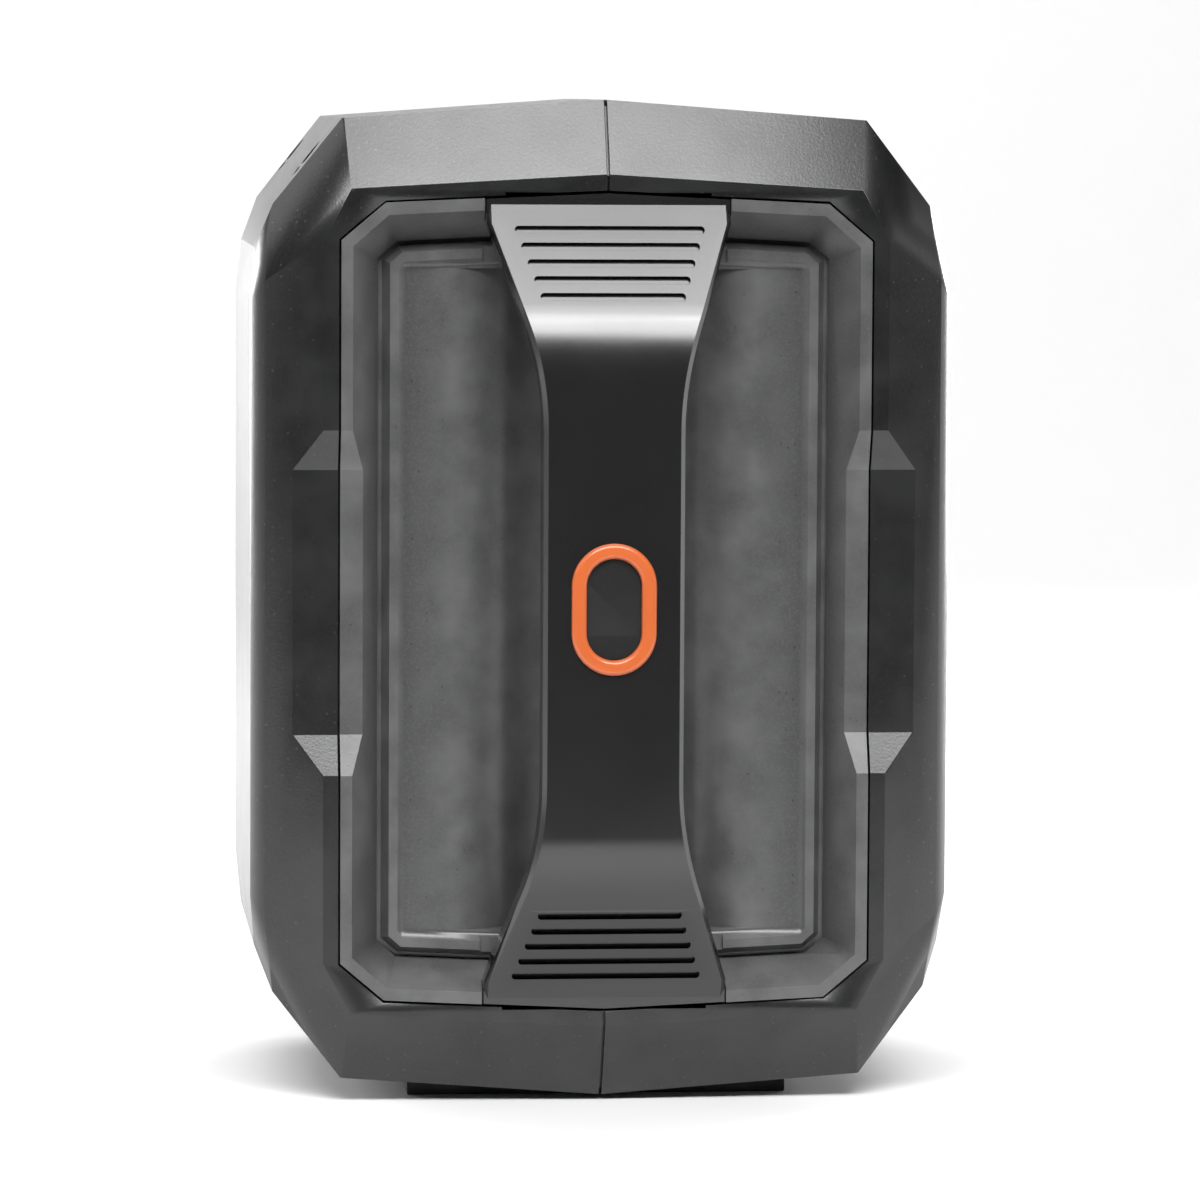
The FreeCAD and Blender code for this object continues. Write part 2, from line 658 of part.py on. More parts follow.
def well_form(name, grow):
    """Trough under the handle: a flat that bends down and sweeps round, grown for its outer skin."""
    run = dim.well_half
    drop = dim.well_depth - dim.floor_depth
    turn = 2 * math.atan(drop / run)
    first = dim.well_bend
    second = run / math.sin(turn) - first
    first -= grow
    second += grow
    level = RIM_Y + dim.floor_depth + grow
    bottom = RIM_Y + dim.well_depth + grow
    top = level - dim.floor_depth

    def bend(angle, sign):
        return Vector(sign * (run - first * math.sin(angle)), level + first * (1 - math.cos(angle)), 0)

    def bowl(angle, sign):
        return Vector(sign * second * math.sin(angle), bottom - second * (1 - math.cos(angle)), 0)

    edges = [
        Part.LineSegment(Vector(-run, top, 0), Vector(run, top, 0)).toShape(),
        Part.LineSegment(Vector(run, top, 0), Vector(run, level, 0)).toShape(),
        Part.Arc(Vector(run, level, 0), bend(turn / 2, 1), bend(turn, 1)).toShape(),
        Part.Arc(bend(turn, 1), Vector(0, bottom, 0), bend(turn, -1)).toShape(),
        Part.Arc(bend(turn, -1), bend(turn / 2, -1), Vector(-run, level, 0)).toShape(),
        Part.LineSegment(Vector(-run, level, 0), Vector(-run, top, 0)).toShape(),
    ]
    face = Part.Face(Part.Wire(Part.__sortEdges__(edges)))
    half = dim.body_height / 2 - dim.tray_down - dim.well_end + grow
    solid = face.extrude(Vector(0, 0, 2 * half))
    solid.translate(Vector(0, 0, MID_Z - half))
    form = doc.addObject("Part::Feature", name)
    form.Shape = solid
    return form


WALL_IN = "tray_flange + tray_bevel + (moat_depth - tray_bevel_depth) * tan(tray_slope)"
BEVEL_SLOPE = "atan(tray_bevel / tray_bevel_depth)"


def tapered(name, inset, low, high, slope):
    """Bar with the tray's outline at its deep end, which widens by slope towards the front."""
    body = prism(name, "y", tray_edge(inset), low, high)
    bind(doc.getObject(f"{name}_pad"), "TaperAngle", slope)
    return body


recess = fuse(
    "tray_recess",
    tapered("recess_well", WALL_IN, RIM, MOAT, "tray_slope"),
    tapered("recess_bevel", "tray_flange + tray_bevel", RIM, f"{RIM} + tray_bevel_depth", BEVEL_SLOPE),
)
basin = tapered("tray_basin", f"{WALL_IN} - tray_wall", RIM, f"{MOAT} + tray_wall", "tray_slope")
bevel_skin = tapered("tray_bevel_skin", "tray_flange + tray_bevel - tray_wall / 2", f"{LEDGE} - tray_wall",
                     f"{RIM} + tray_bevel_depth + tray_wall", BEVEL_SLOPE)
island = tapered("tray_island", "moat_width", f"{RIM} + ridge_depth", f"{MOAT} + 1", "0 - ridge_slope")
island_hollow = tapered("tray_island_hollow", "moat_width + tray_wall", f"{RIM} + ridge_depth + tray_wall",
                        f"{MOAT} + 9", "0 - ridge_slope")
panel_floor = tapered("tray_panel", "moat_width + ridge_crest + 1.8", f"{RIM} + ridge_depth - 0.2",
                      f"{RIM} + floor_depth", "floor_slope")
panel_skin = prism("tray_panel_skin", "y", tray_edge("moat_width + ridge_crest"), f"{RIM} + ridge_depth",
                   f"{RIM} + floor_depth + tray_wall")

flange = prism("tray_flange_plate", "y", tray_edge("0"), RIM, LEDGE)
seats = [
    block(f"seat_block_{i}", (f"0 - {SEAT_BLOCK}", SEAT_BLOCK),
          (SEAT, f"{MOAT} + tray_wall"),
          (f"{MID} + {low}", f"{MID} + {high}"))
    for i, (low, high) in enumerate((
        (f"({TRAY_PEAK} - seat_length)", f"({TRAY_PEAK} - 1.5)"),
        (f"(1.5 - {TRAY_PEAK})", f"(seat_length - {TRAY_PEAK})"),
    ))
]
well_skin = well_form("well_skin", dim.tray_wall)
well_space = well_form("well_space", 0)
tray_solid = fuse("tray_solid", flange, basin, bevel_skin, well_skin)
opened = cut("tray_opened", tray_solid, cut("recess_less_island", recess, island))
hollowed = cut("tray_hollowed", opened,
               cut("island_core", island_hollow, fuse("kept_floor", panel_skin, well_skin)))
ridge_gaps = [
    block(f"ridge_gap_{i}", (f"0 - {SEAT_HALF}", SEAT_HALF), (RIM, f"{RIM} + ridge_depth + ridge_gap_sink"),
          (f"{MID} + {low}", f"{MID} + {high}"))
    for i, (low, high) in enumerate((
        (f"({TRAY_PEAK} - ridge_gap_far)", f"({TRAY_PEAK} - ridge_gap_near)"),
        (f"(ridge_gap_near - {TRAY_PEAK})", f"(ridge_gap_far - {TRAY_PEAK})"),
    ))
]
dished = cut("tray_dished", hollowed, panel_floor, well_space, *ridge_gaps)
filled = fuse("tray_filled", dished, *seats)
slots = [
    block(f"seat_slot_{i}", (f"0 - {SEAT_HALF}", SEAT_HALF), (f"{RIM} - 5", SEAT),
          (f"{MID} + {low}", f"{MID} + {high}"))
    for i, (low, high) in enumerate((
        (f"({TRAY_PEAK} - seat_length - 9)", f"({TRAY_PEAK} + 5)"),
        (f"(0 - 5 - {TRAY_PEAK})", f"(seat_length + 9 - {TRAY_PEAK})"),
    ))
]
seat_holes = [
    rod(f"seat_hole_{i}", "y", RIM, f"{MOAT} + 30", HOLE, x=x, z=z)
    for i, x, z in HANDLE_SCREWS
]
piece("handle_tray", cut("handle_tray", filled, notch_cut, *slots, *seat_holes))

# --------------------------------------------------------------------------- carry handle

TOP = f"({RIM} - handle_proud)"
LIP = f"({RIM} - 0.3)"
FLAT = f"({TRAY_PEAK} - handle_slope)"      # half length of the flat top
TAPER = f"({TRAY_PEAK} - handle_neck)"      # half length of the parallel sides
FLARE = f"({TRAY_PEAK} - handle_heel)"      # half length where the sides reach full width
HANDLE_FLAT = dim.body_height / 2 - dim.tray_down - dim.handle_slope
HANDLE_TAPER = dim.body_height / 2 - dim.tray_down - dim.handle_neck


def handle_side(name, sink, half):
    """Side view of the handle's upper skin down to its seats, lowered by sink, as a bar along X."""
    points = [
        (SEAT, f"{MID} + ({TRAY_PEAK} - 0.2)"),
        (f"{LIP} + {sink}", f"{MID} + ({TRAY_PEAK} - 0.2)"),
        (f"{LIP} + {sink}", f"{MID} + ({TRAY_PEAK} - handle_lip)"),
        (f"{TOP} + {sink}", f"{MID} + {FLAT}"),
        (f"{TOP} + {sink}", f"{MID} - {FLAT}"),
        (f"{LIP} + {sink}", f"{MID} - ({TRAY_PEAK} - handle_lip)"),
        (f"{LIP} + {sink}", f"{MID} - ({TRAY_PEAK} - 0.2)"),
        (SEAT, f"{MID} - ({TRAY_PEAK} - 0.2)"),
    ]
    def bend(point):
        return abs(abs(point.z - MID_Z) - HANDLE_FLAT) < 3

    return prism(name, "x", points, f"0 - {half}", half, rounding="handle_bend", pick=bend)


handle_top = handle_side("handle_profile", "0", "handle_foot_half")
inner = [
    (f"{RIM} + 40", f"{MID} + ({TRAY_PEAK} - seat_length + 0.5)"),
    (f"{SEAT} - 2", f"{MID} + ({TRAY_PEAK} - seat_length + 0.5)"),
    (f"{TOP} + handle_thick", f"{MID} + ({FLAT} - 5)"),
    (f"{TOP} + handle_thick", f"{MID} - ({FLAT} - 5)"),
    (f"{SEAT} - 2", f"{MID} - ({TRAY_PEAK} - seat_length + 0.5)"),
    (f"{RIM} + 40", f"{MID} - ({TRAY_PEAK} - seat_length + 0.5)"),
]
under = prism("handle_under", "x", inner, f"0 - {FAR}", FAR, rounding="handle_bend - 6",
              pick=lambda point: abs(abs(point.z - MID_Z) - (HANDLE_FLAT - 5)) < 2)
plan = [("handle_foot_half", f"({TRAY_PEAK} + 9)"), ("handle_foot_half", FLARE),
        ("handle_grip_half", TAPER)]
corners = [(wide, f"{MID} + {high}") for wide, high in plan]
corners += [(wide, f"{MID} - {high}") for wide, high in reversed(plan)]
corners += [(f"0 - {wide}", f"{MID} - {high}") for wide, high in plan]
corners += [(f"0 - {wide}", f"{MID} + {high}") for wide, high in reversed(plan)]
waist = prism("handle_plan", "y", corners, f"{TOP} - 9", f"{RIM} + 30", rounding="handle_curve",
              pick=lambda point: abs(abs(point.z - MID_Z) - HANDLE_TAPER) < 2)
# The end strips follow the tray's shallow V.
tray_plan = prism("handle_ends", "y", tray_edge("0.2"), f"{TOP} - 9", f"{RIM} + 30")
beam = cut("handle_beam", common("handle_waisted", handle_top, waist, tray_plan), under)

doc.recompute()


def upper_edges(shape):
    """Edges where the handle's upper skin meets its sides."""
    chosen = []
    for index, edge in enumerate(shape.Edges, 1):
        middle = edge.valueAt((edge.FirstParameter + edge.LastParameter) / 2)
        height = abs(middle.z - MID_Z)
        flat_limit = dim.body_height / 2 - dim.tray_down - dim.handle_lip
        share = (flat_limit - height) / (flat_limit - HANDLE_FLAT)
        rise = 0.3 + (dim.handle_proud - 0.3) * min(1, max(0, share))
        on_skin = middle.y < RIM_Y - rise + 2.2
        at_side = abs(middle.x) > dim.handle_grip_half - 1
        if on_skin and at_side and height < flat_limit - 1 and edge.Length > 3:
            chosen.append(index)
    return chosen


facets = doc.addObject("Part::Chamfer", "handle_facets")
facets.Base = beam
facets.Edges = [(index, dim.handle_facet, dim.handle_facet) for index in upper_edges(beam.Shape)]

groove_bars = []
for i in range(int(dim.groove_count)):
    level = f"({TRAY_PEAK} - groove_first + {i} * groove_pitch)"
    share = f"(({level} - {TAPER}) / ({FLARE} - {TAPER}))"
    reach = f"(handle_grip_half + (handle_foot_half - handle_grip_half) * {share} - groove_margin)"
    for sign in (1, -1):
        tag = f"groove_{i}_{'top' if sign > 0 else 'foot'}"
        height = f"({MID} + {sign} * {level})"
        low, high = f"{height} - groove_wide / 2", f"{height} + groove_wide / 2"
        end = f"({reach} - groove_wide / 2)"
        groove_bars.append(block(f"{tag}_bar", (f"0 - {end}", end), (f"{TOP} - 5", f"{RIM} + 9"), (low, high)))
        for side, hand in ((-1, "left"), (1, "right")):
            groove_bars.append(rod(f"{tag}_end_{hand}", "y", f"{TOP} - 5", f"{RIM} + 9", "groove_wide / 2",
                                   x=f"{side} * {end}", z=height))
sunk = handle_side("handle_sunk", "groove_depth", "handle_foot_half + 5")
grooves = cut("handle_grooves", fuse("groove_set", *groove_bars), sunk)
GRIP_HALF = "(handle_grip_half - grip_in)"
RING_SEAT = f"({TOP} + ring_seat)"
ring_bed = stadium("ring_bed", "ring_half + trim_gap", "ring_reach + trim_gap", f"{TOP} - 5", RING_SEAT)
pockets = [
    block(f"handle_pocket_{i}", (f"0 - {GRIP_HALF} + 3", f"{GRIP_HALF} - 3"),
          (f"{TOP} + handle_skin + 1", f"{TOP} + handle_thick + 5"),
          (f"{MID} + ({low})", f"{MID} + ({high})"))
    for i, (low, high) in enumerate((
        ("3 - grip_length / 2", "0 - grip_length / 6 - 1"),
        ("1 - grip_length / 6", "grip_length / 6 - 1"),
        ("grip_length / 6 + 1", "grip_length / 2 - 3"),
    ))
]
grip_bed = block("grip_bed", (f"0 - {GRIP_HALF} - trim_gap", f"{GRIP_HALF} + trim_gap"),
                 (f"{TOP} + handle_thick - 1", f"{TOP} + handle_thick + 5"),
                 (f"{MID} - grip_length / 2 - trim_gap", f"{MID} + grip_length / 2 + trim_gap"))
handle_pilots = [
    rod(f"handle_pilot_{i}", "y", f"{SEAT} - 4", f"{SEAT} + 5", PILOT, x=x, z=z)
    for i, x, z in HANDLE_SCREWS
]
piece("carry_handle", cut("carry_handle", facets, grooves, ring_bed, grip_bed, *pockets, *handle_pilots))

grip_points = [
    (f"0 - {GRIP_HALF}", f"{TOP} + handle_thick - 1"),
    (f"0 - {GRIP_HALF}", f"{TOP} + handle_thick + grip_thick - 2.6"),
    (f"0 - {GRIP_HALF} + 4", f"{TOP} + handle_thick + grip_thick - 1"),
    (f"{GRIP_HALF} - 4", f"{TOP} + handle_thick + grip_thick - 1"),
    (GRIP_HALF, f"{TOP} + handle_thick + grip_thick - 2.6"),
    (GRIP_HALF, f"{TOP} + handle_thick - 1"),
]
piece("handle_grip",
      prism("handle_grip", "z", grip_points, f"{MID} - grip_length / 2", f"{MID} + grip_length / 2"))

ring_outer = stadium("ring_outer", "ring_half", "ring_reach", f"{TOP} - ring_proud", RING_SEAT)
ring_hole = stadium("ring_hole", "ring_half - ring_width", "ring_reach - ring_width", f"{TOP} - 9",
                    f"{TOP} + 9")
ring_raw = cut("ring_raw", ring_outer, ring_hole)
doc.recompute()
ring_round = doc.addObject("Part::Fillet", "handle_ring")
ring_round.Base = ring_raw
front_y = ring_raw.Shape.BoundBox.YMin
ring_round.Edges = [(i, 1.2, 1.2) for i, edge in enumerate(ring_raw.Shape.Edges, 1)
                    if edge.BoundBox.YMax < front_y + 0.01]
piece("handle_ring", ring_round)
piece("handle_pad",
      stadium("handle_pad", "ring_half - ring_width - trim_gap", "ring_reach - ring_width - trim_gap",
                            f"{TOP} + 0.4", RING_SEAT))


def screw(name, facing, head, head_high, shank, length, **place):
    """Pan-head screw with a cross-recess cone, its head above the origin and shank below it."""
    profile = [
        ("0", f"0 - ({length})"),
        (f"{shank} * 0.6", f"0 - ({length})"),
        (shank, f"1 - ({length})"),
        (shank, "0"),
        (head, "0"),
        (head, f"{head_high} * 0.55"),
        (f"{head} * 0.7", head_high),
        (f"{head} * 0.4", head_high),
        ("0", f"{head_high} * 0.4"),
    ]
    return turned(name, profile, facing, **place)


piece("handle_screws", group("handle_screws", *[
    screw(f"handle_screw_{i}", (0, 1, 0), "screw_head", "screw_head_high", "screw_shank",
          "moat_depth + tray_wall - seat_depth + 3.6",
          x=x, y=f"{MOAT} + tray_wall", z=z)
    for i, x, z in HANDLE_SCREWS
]))
piece("shell_screws", group("shell_screws", *[
    screw(f"shell_screw_{spot}", (-1, 0, 0), "screw_head", "screw_head_high", "screw_shank",
          "screw_grip + screw_bite", x="0 - screw_grip", y=y, z=z)
    for spot, y, z in BOSSES
]))

# --------------------------------------------------------------------------- foot and rest pads

foot_points = [
    ("0 - foot_half", "0"),
    ("foot_half", "0"),
    ("foot_half", "foot_plate"),
    ("0 - foot_half", "foot_plate"),
]
foot_body = prism("foot_body", "y", foot_points, FOOT_FRONT, FOOT_BACK)
foot_slots = []
for i in range(int(dim.foot_slots)):
    place = f"({FOOT_FRONT} + {i + 1} * foot_depth / (foot_slots + 1))"
    foot_slots.append(block(f"foot_slot_{i}", ("0 - foot_half + 6", "foot_half - 6"),
                            (f"{place} - 1.5", f"{place} + 1.5"), ("0 - 1", "1")))
piece("base_foot", cut("base_foot", foot_body, *foot_slots))
piece("rest_pads", group("rest_pads", *[
    turned(f"rest_pad_{i}", [
        ("0", "0 - pad_sink"),
        ("pad_radius", "0 - pad_sink"),
        ("pad_radius", "pad_proud - 1"),
        ("pad_radius - 1", "pad_proud"),
        ("0", "pad_proud"),
    ], (0, 1, 0), x=x, y=REAR, z=z)
    for i, x, z in PADS
]))

# --------------------------------------------------------------------------- control panel

piece("panel_screws", group("panel_screws", *[
    screw(f"panel_screw_{i}", (1, 0, 0), "small_head", "1.3", "small_shank", "small_length",
          x=f"{FACE} - 1.5", y=y, z=z)
    for i, y, z in PANEL_SCREWS
]))

LAMP = f"({MID} + lamp_z)"
SHOW = f"({MID} + display_z)"
KEYS = f"({MID} + button_z)"
PORT = (f"({MID} + port_top - port_high)", f"({MID} + port_top)")
JUMP = (f"({MID} + jump_top - jump_high)", f"({MID} + jump_top)")
BUTTONS = [
    ("lamp_button", f"({MIDDLE} - button_pitch)", "side_radius"),
    ("power_button", MIDDLE, "power_radius"),
    ("boost_button", f"({MIDDLE} + button_pitch)", "side_radius"),
]


def across(half, grow="0"):
    """Span along Y about the middle of the panel."""
    return (f"{MIDDLE} - ({half}) - ({grow})", f"{MIDDLE} + ({half}) + ({grow})")


def about(level, half, grow="0"):
    """Span along Z about a level."""
    return (f"{level} - ({half}) - ({grow})", f"{level} + ({half}) + ({grow})")


plate = common("panel_plate", cut("panel_skin", skin_form, plate_form),
               prism("panel_shape", "x", panel_edge("0"), "0.5 * body_width - 20", FAR))
LENS_BED = f"({FACE} - lens_thick)"
panel_cuts = [
    block("lamp_bed", (LENS_BED, FAR), across("lamp_half", "lens_gap"),
          about(LAMP, "lamp_high", "lens_gap")),
    block("lamp_window", ("0", FAR), across("lamp_half - window_lap"),
          about(LAMP, "lamp_high - window_lap")),
    block("display_bed", (LENS_BED, FAR), across("display_half", "lens_gap"),
          about(SHOW, "display_high", "lens_gap")),
    block("display_window", ("0", FAR), across("display_half - window_lap"),
          about(SHOW, "display_high - window_lap")),
    block("port_window", ("0", FAR), across("bay_half"), PORT),
    block("jump_window", ("0", FAR), across("jump_half"), JUMP),
]
for name, y, radius in BUTTONS:
    panel_cuts.append(rod(f"{name}_hole", "x", "0", FAR, f"{radius} + button_gap", y=y, z=KEYS))
for i, y, z in PANEL_SCREWS:
    panel_cuts.append(rod(f"panel_screw_bore_{i}", "x", "0", FAR, "small_shank + small_gap", y=y, z=z))
    panel_cuts.append(rod(f"panel_screw_sink_{i}", "x", f"{FACE} - 1.5", FAR, "small_head + small_gap", y=y,
                          z=z))
piece("control_panel", cut("control_panel", plate, *panel_cuts))
piece("display_lens",
      block("display_lens", (LENS_BED, f"{FACE} - 0.1"), across("display_half"),
            about(SHOW, "display_high")))
piece("lamp_lens", block("lamp_lens", (LENS_BED, FACE), across("lamp_half"), about(LAMP, "lamp_high")))
piece("display_module", fuse(
    "display_module",
    block("display_glass", (f"{BACK} - 3", f"{BACK} + 0.05"), across("display_half - 1"),
          about(SHOW, "display_high - 0.5")),
    block("display_legs", (BOARD, f"{BACK} - 3"), across("display_half - 3"),
          about(SHOW, "display_high - 2.5")),
))
reflector_body = block("reflector_body", (f"{BACK} - 6.5", f"{BACK} + 0.05"), across("lamp_half - 1"),
                       about(LAMP, "lamp_high - 0.3"))
cups = []
for i in range(5):
    cone = doc.addObject("Part::Cone", f"lamp_cup_{i}")
    cups.append(cone)
    bind(cone, "Radius1", "lamp_high * 0.3")
    bind(cone, "Radius2", "lamp_high * 0.62")
    bind(cone, "Height", "8")
    cone.Placement = Placement(Vector(), TURNS["x"])
    bind(cone, "Placement.Base.x", f"{BACK} - 7.5")
    bind(cone, "Placement.Base.y", f"{MIDDLE} + {i - 2} * (lamp_half * 0.38)")
    bind(cone, "Placement.Base.z", LAMP)
piece("lamp_reflector", cut("lamp_reflector", reflector_body, *cups))
lamp_plate = block("lamp_plate", (f"{BACK} - 8.1", f"{BACK} - 6.5"), across("lamp_half - 1"),
                   about(LAMP, "lamp_high - 0.3"))
chips = [
    block(f"lamp_chip_{i}", (f"{BACK} - 6.5", f"{BACK} - 5.5"),
          (f"{MIDDLE} + {i - 2} * (lamp_half * 0.38) - 1.6",
          f"{MIDDLE} + {i - 2} * (lamp_half * 0.38) + 1.6"), about(LAMP, "1.6"))
    for i in range(5)
]
piece("lamp_board", fuse("lamp_board", lamp_plate, *chips))

for name, y, radius in BUTTONS:
    profile = [
        ("0", "0 - panel_sink - panel_proud - 2"),
        (f"{radius} + button_flange", "0 - panel_sink - panel_proud - 2"),
        (f"{radius} + button_flange", "0 - panel_sink - panel_proud"),
        (radius, "0 - panel_sink - panel_proud"),
        (radius, "button_proud - 0.8"),
        (f"{radius} - 0.8", "button_proud"),
        ("0", "button_proud - 0.3"),
    ]
    piece(name, turned(name, profile, (1, 0, 0), x=FACE, y=y, z=KEYS))

SWITCH_TOP = f"({BACK} - 2 - button_travel - 0.1)"
switches = []
for name, y, radius in BUTTONS:
    switches.append(fuse(
        f"{name}_switch",
        block(f"{name}_case", (BOARD, f"{SWITCH_TOP} - 1.5"), (f"{y} - 3", f"{y} + 3"), about(KEYS, "3")),
        rod(f"{name}_plunger", "x", f"{SWITCH_TOP} - 1.6", SWITCH_TOP, "1.7", y=y, z=KEYS),
    ))
piece("button_switches", group("button_switches", *switches))
board_high = (f"{KEYS} - 14", f"{SHOW} + display_high + 4")
board_raw = block("board_raw", (f"{BOARD} - board_thick", BOARD), across("panel_half - panel_lap - 1"),
                  board_high)
BOARD_SCREWS = [
    (i, f"{MIDDLE} + {sy} * (panel_half - panel_lap - 4.5)", z)
    for i, (sy, z) in enumerate((
        (-1, f"{KEYS} - 10"), (1, f"{KEYS} - 10"),
        (-1, f"{SHOW} + display_high"), (1, f"{SHOW} + display_high"),
    ))
]
board_holes = [
    rod(f"board_hole_{i}", "x", "0", FAR, "small_shank + small_gap", y=y, z=z)
    for i, y, z in BOARD_SCREWS
]
piece("control_board", cut("control_board", board_raw, *board_holes))
posts = [
    cut(f"board_post_{i}",
        rod(f"board_post_{i}_body", "x", BOARD, f"{BACK} + 0.05", "2.7", y=y, z=z),
        rod(f"board_post_{i}_pilot", "x", BOARD, f"{BACK} - 2", "small_shank + small_thread", y=y, z=z))
    for i, y, z in BOARD_SCREWS
]
piece("board_posts", group("board_posts", *posts))
piece("board_screws", group("board_screws", *[
    screw(f"board_screw_{i}", (-1, 0, 0), "small_head", "1.7", "small_shank", "small_length",
          x=f"{BOARD} - board_thick", y=y, z=z)
    for i, y, z in BOARD_SCREWS
]))

# --------------------------------------------------------------------------- port and jump bays

HINGE_X = f"({FACE} - knuckle - 0.05)"
BAY_BACK = f"({FACE} - bay_depth)"


def bay(name, half, span, holes):
    """Moulded pocket behind a panel window, with two hinge ears at its upper corners."""
    low, high = span
    outer = block(f"{name}_outer", (f"{BAY_BACK} - bay_wall", BACK), across(half, "bay_wall"),
                  (f"{low} - bay_wall", f"{high} + bay_wall"))
    inside = block(f"{name}_inside", (BAY_BACK, FAR), across(half), (low, high))
    hinge_z = f"({high} - knuckle - cover_gap)"
    ears = []
    for sign in (-1, 1):
        tag = "right" if sign > 0 else "left"
        edges = (f"{MIDDLE} + {sign} * ({half})", f"{MIDDLE} + {sign} * ({half} - ear)")
        y = edges if sign < 0 else edges[::-1]
        ears.append(block(f"{name}_ear_{tag}", (f"{BAY_BACK} - bay_wall / 2", f"{FACE} - 0.3"), y,
                          (f"{hinge_z} - knuckle", f"{high}")))
    ledge = block(f"{name}_ledge", (f"{BAY_BACK} - bay_wall / 2", f"{FACE} - cover_thick - 0.1"),
                  across(half), (low, f"{low} + 1.6"))
    pin_hole = rod(f"{name}_pin_hole", "y", f"{MIDDLE} - {half} + 1", f"{MIDDLE} + {half} - 1",
                   "pin_radius", x=HINGE_X, z=hinge_z)
    solid = cut(f"{name}_pocket", outer, inside)
    return piece(name, cut(name, fuse(f"{name}_body", solid, *ears, ledge), pin_hole, *holes))


def cover(name, half, span):
    """Flap that closes a bay flush with the panel, turning on a pin at its upper edge."""
    low, high = span
    hinge_z = f"({high} - knuckle - cover_gap)"
    reach = f"({half} - ear - 0.3)"
    leaf = block(f"{name}_leaf", (f"{FACE} - cover_thick", f"{FACE} - 0.05"), across(f"{half} - cover_gap"),
                 (f"{low} + cover_gap", f"{hinge_z} - knuckle - ear_gap"))
    neck = block(f"{name}_neck", (f"{FACE} - cover_thick", f"{FACE} - 0.05"), across(reach),
                 (f"{hinge_z} - knuckle - ear_gap - 1", hinge_z))
    barrel = rod(f"{name}_barrel", "y", f"{MIDDLE} - {reach}", f"{MIDDLE} + {reach}", "knuckle", x=HINGE_X,
                 z=hinge_z)
    bore = rod(f"{name}_bore", "y", f"{MIDDLE} - {half}", f"{MIDDLE} + {half}", "pin_radius + pin_gap",
               x=HINGE_X, z=hinge_z)
    pull = block(f"{name}_pull", (f"{FACE} - 0.9", FAR), across("7"), (f"{low} - 1", f"{low} + 3.4"))
    piece(name, cut(name, fuse(f"{name}_body", leaf, neck, barrel), bore, pull))
    pin = rod(f"{name}_pin", "y", f"{MIDDLE} - {half} + 1", f"{MIDDLE} + {half} - 1", "pin_radius",
              x=HINGE_X, z=hinge_z)
    piece(f"{name}_pin", pin)


PORT_Z = f"({PORT[0]} + port_high * 0.42)"
USB_A = (f"({MIDDLE} - 20)", f"({MIDDLE} - 3)")
USB_C = f"({MIDDLE} + 10.5)"
JACK = f"({MIDDLE} + 22)"
port_holes = [
    block(f"usb_a_hole_{i}", ("0", FAR), (f"{y} - usb_a_half - port_gap", f"{y} + usb_a_half + port_gap"),
          about(PORT_Z, "usb_a_high", "port_gap"))
    for i, y in enumerate(USB_A)
]
port_holes.append(block("usb_c_hole", ("0", FAR),
                        (f"{USB_C} - usb_c_half - port_gap", f"{USB_C} + usb_c_half + port_gap"),
                        about(PORT_Z, "usb_c_high", "port_gap")))
port_holes.append(rod("jack_hole", "x", "0", FAR, "jack_radius + port_gap / 2", y=JACK, z=PORT_Z))
bay("port_bezel", "bay_half", PORT, port_holes)
cover("port_cover", "bay_half", PORT)

PORT_BOARD = f"({BAY_BACK} - port_depth)"


def usb_port(name, y, half, high, wall, tongue_half, tongue):
    """Metal shell round a tongue: half width, half height, wall and the tongue's half width and span."""
    can = block(f"{name}_can", (PORT_BOARD, f"{BAY_BACK} + 1.6"), (f"{y} - {half}", f"{y} + {half}"),
                about(PORT_Z, high))
    mouth = block(f"{name}_mouth", (f"{PORT_BOARD} + 1.5", FAR),
                  (f"{y} - {half} + {wall}", f"{y} + {half} - {wall}"),
                  about(PORT_Z, f"{high} - {wall}"))
    blade = block(f"{name}_tongue", (f"{PORT_BOARD} + 1", f"{BAY_BACK} + 0.8"),
                  (f"{y} - {tongue_half}", f"{y} + {tongue_half}"), tongue)
    return fuse(name, cut(f"{name}_shell", can, mouth), blade)


piece("usb_a_ports", group("usb_a_ports", *[
    usb_port(f"usb_a_{i}", y, "usb_a_half", "usb_a_high", "0.5", "5.6",
             (f"{PORT_Z} + 0.1", f"{PORT_Z} + 1.9"))
    for i, y in enumerate(USB_A)
]))
piece("usb_c_port",
      usb_port("usb_c_port", USB_C, "usb_c_half", "usb_c_high", "0.4", "3.3", about(PORT_Z, "0.35")))
jack_body = rod("jack_body", "x", PORT_BOARD, f"{BAY_BACK} + 1.4", "jack_radius", y=JACK, z=PORT_Z)
jack_bore = rod("jack_bore", "x", f"{PORT_BOARD} + 2", FAR, "3.2", y=JACK, z=PORT_Z)
jack_pin = rod("jack_pin", "x", f"{PORT_BOARD} + 1", BAY_BACK, "1", y=JACK, z=PORT_Z)
piece("charge_jack", fuse("charge_jack", cut("jack_shell", jack_body, jack_bore), jack_pin))
piece("port_board", block("port_board", (f"{PORT_BOARD} - board_thick", PORT_BOARD), across("bay_half - 1"),
                          (f"{PORT[0]} + 2", f"{PORT[1]} - 2")))

JUMP_Z = f"({JUMP[0]} + jump_high * 0.45)"
SOCKETS = (f"({MIDDLE} - socket_pitch / 2)", f"({MIDDLE} + socket_pitch / 2)")
JUMP_MOUTH = f"({BAY_BACK} + 5)"
JUMP_REAR = f"({BAY_BACK} - 22)"


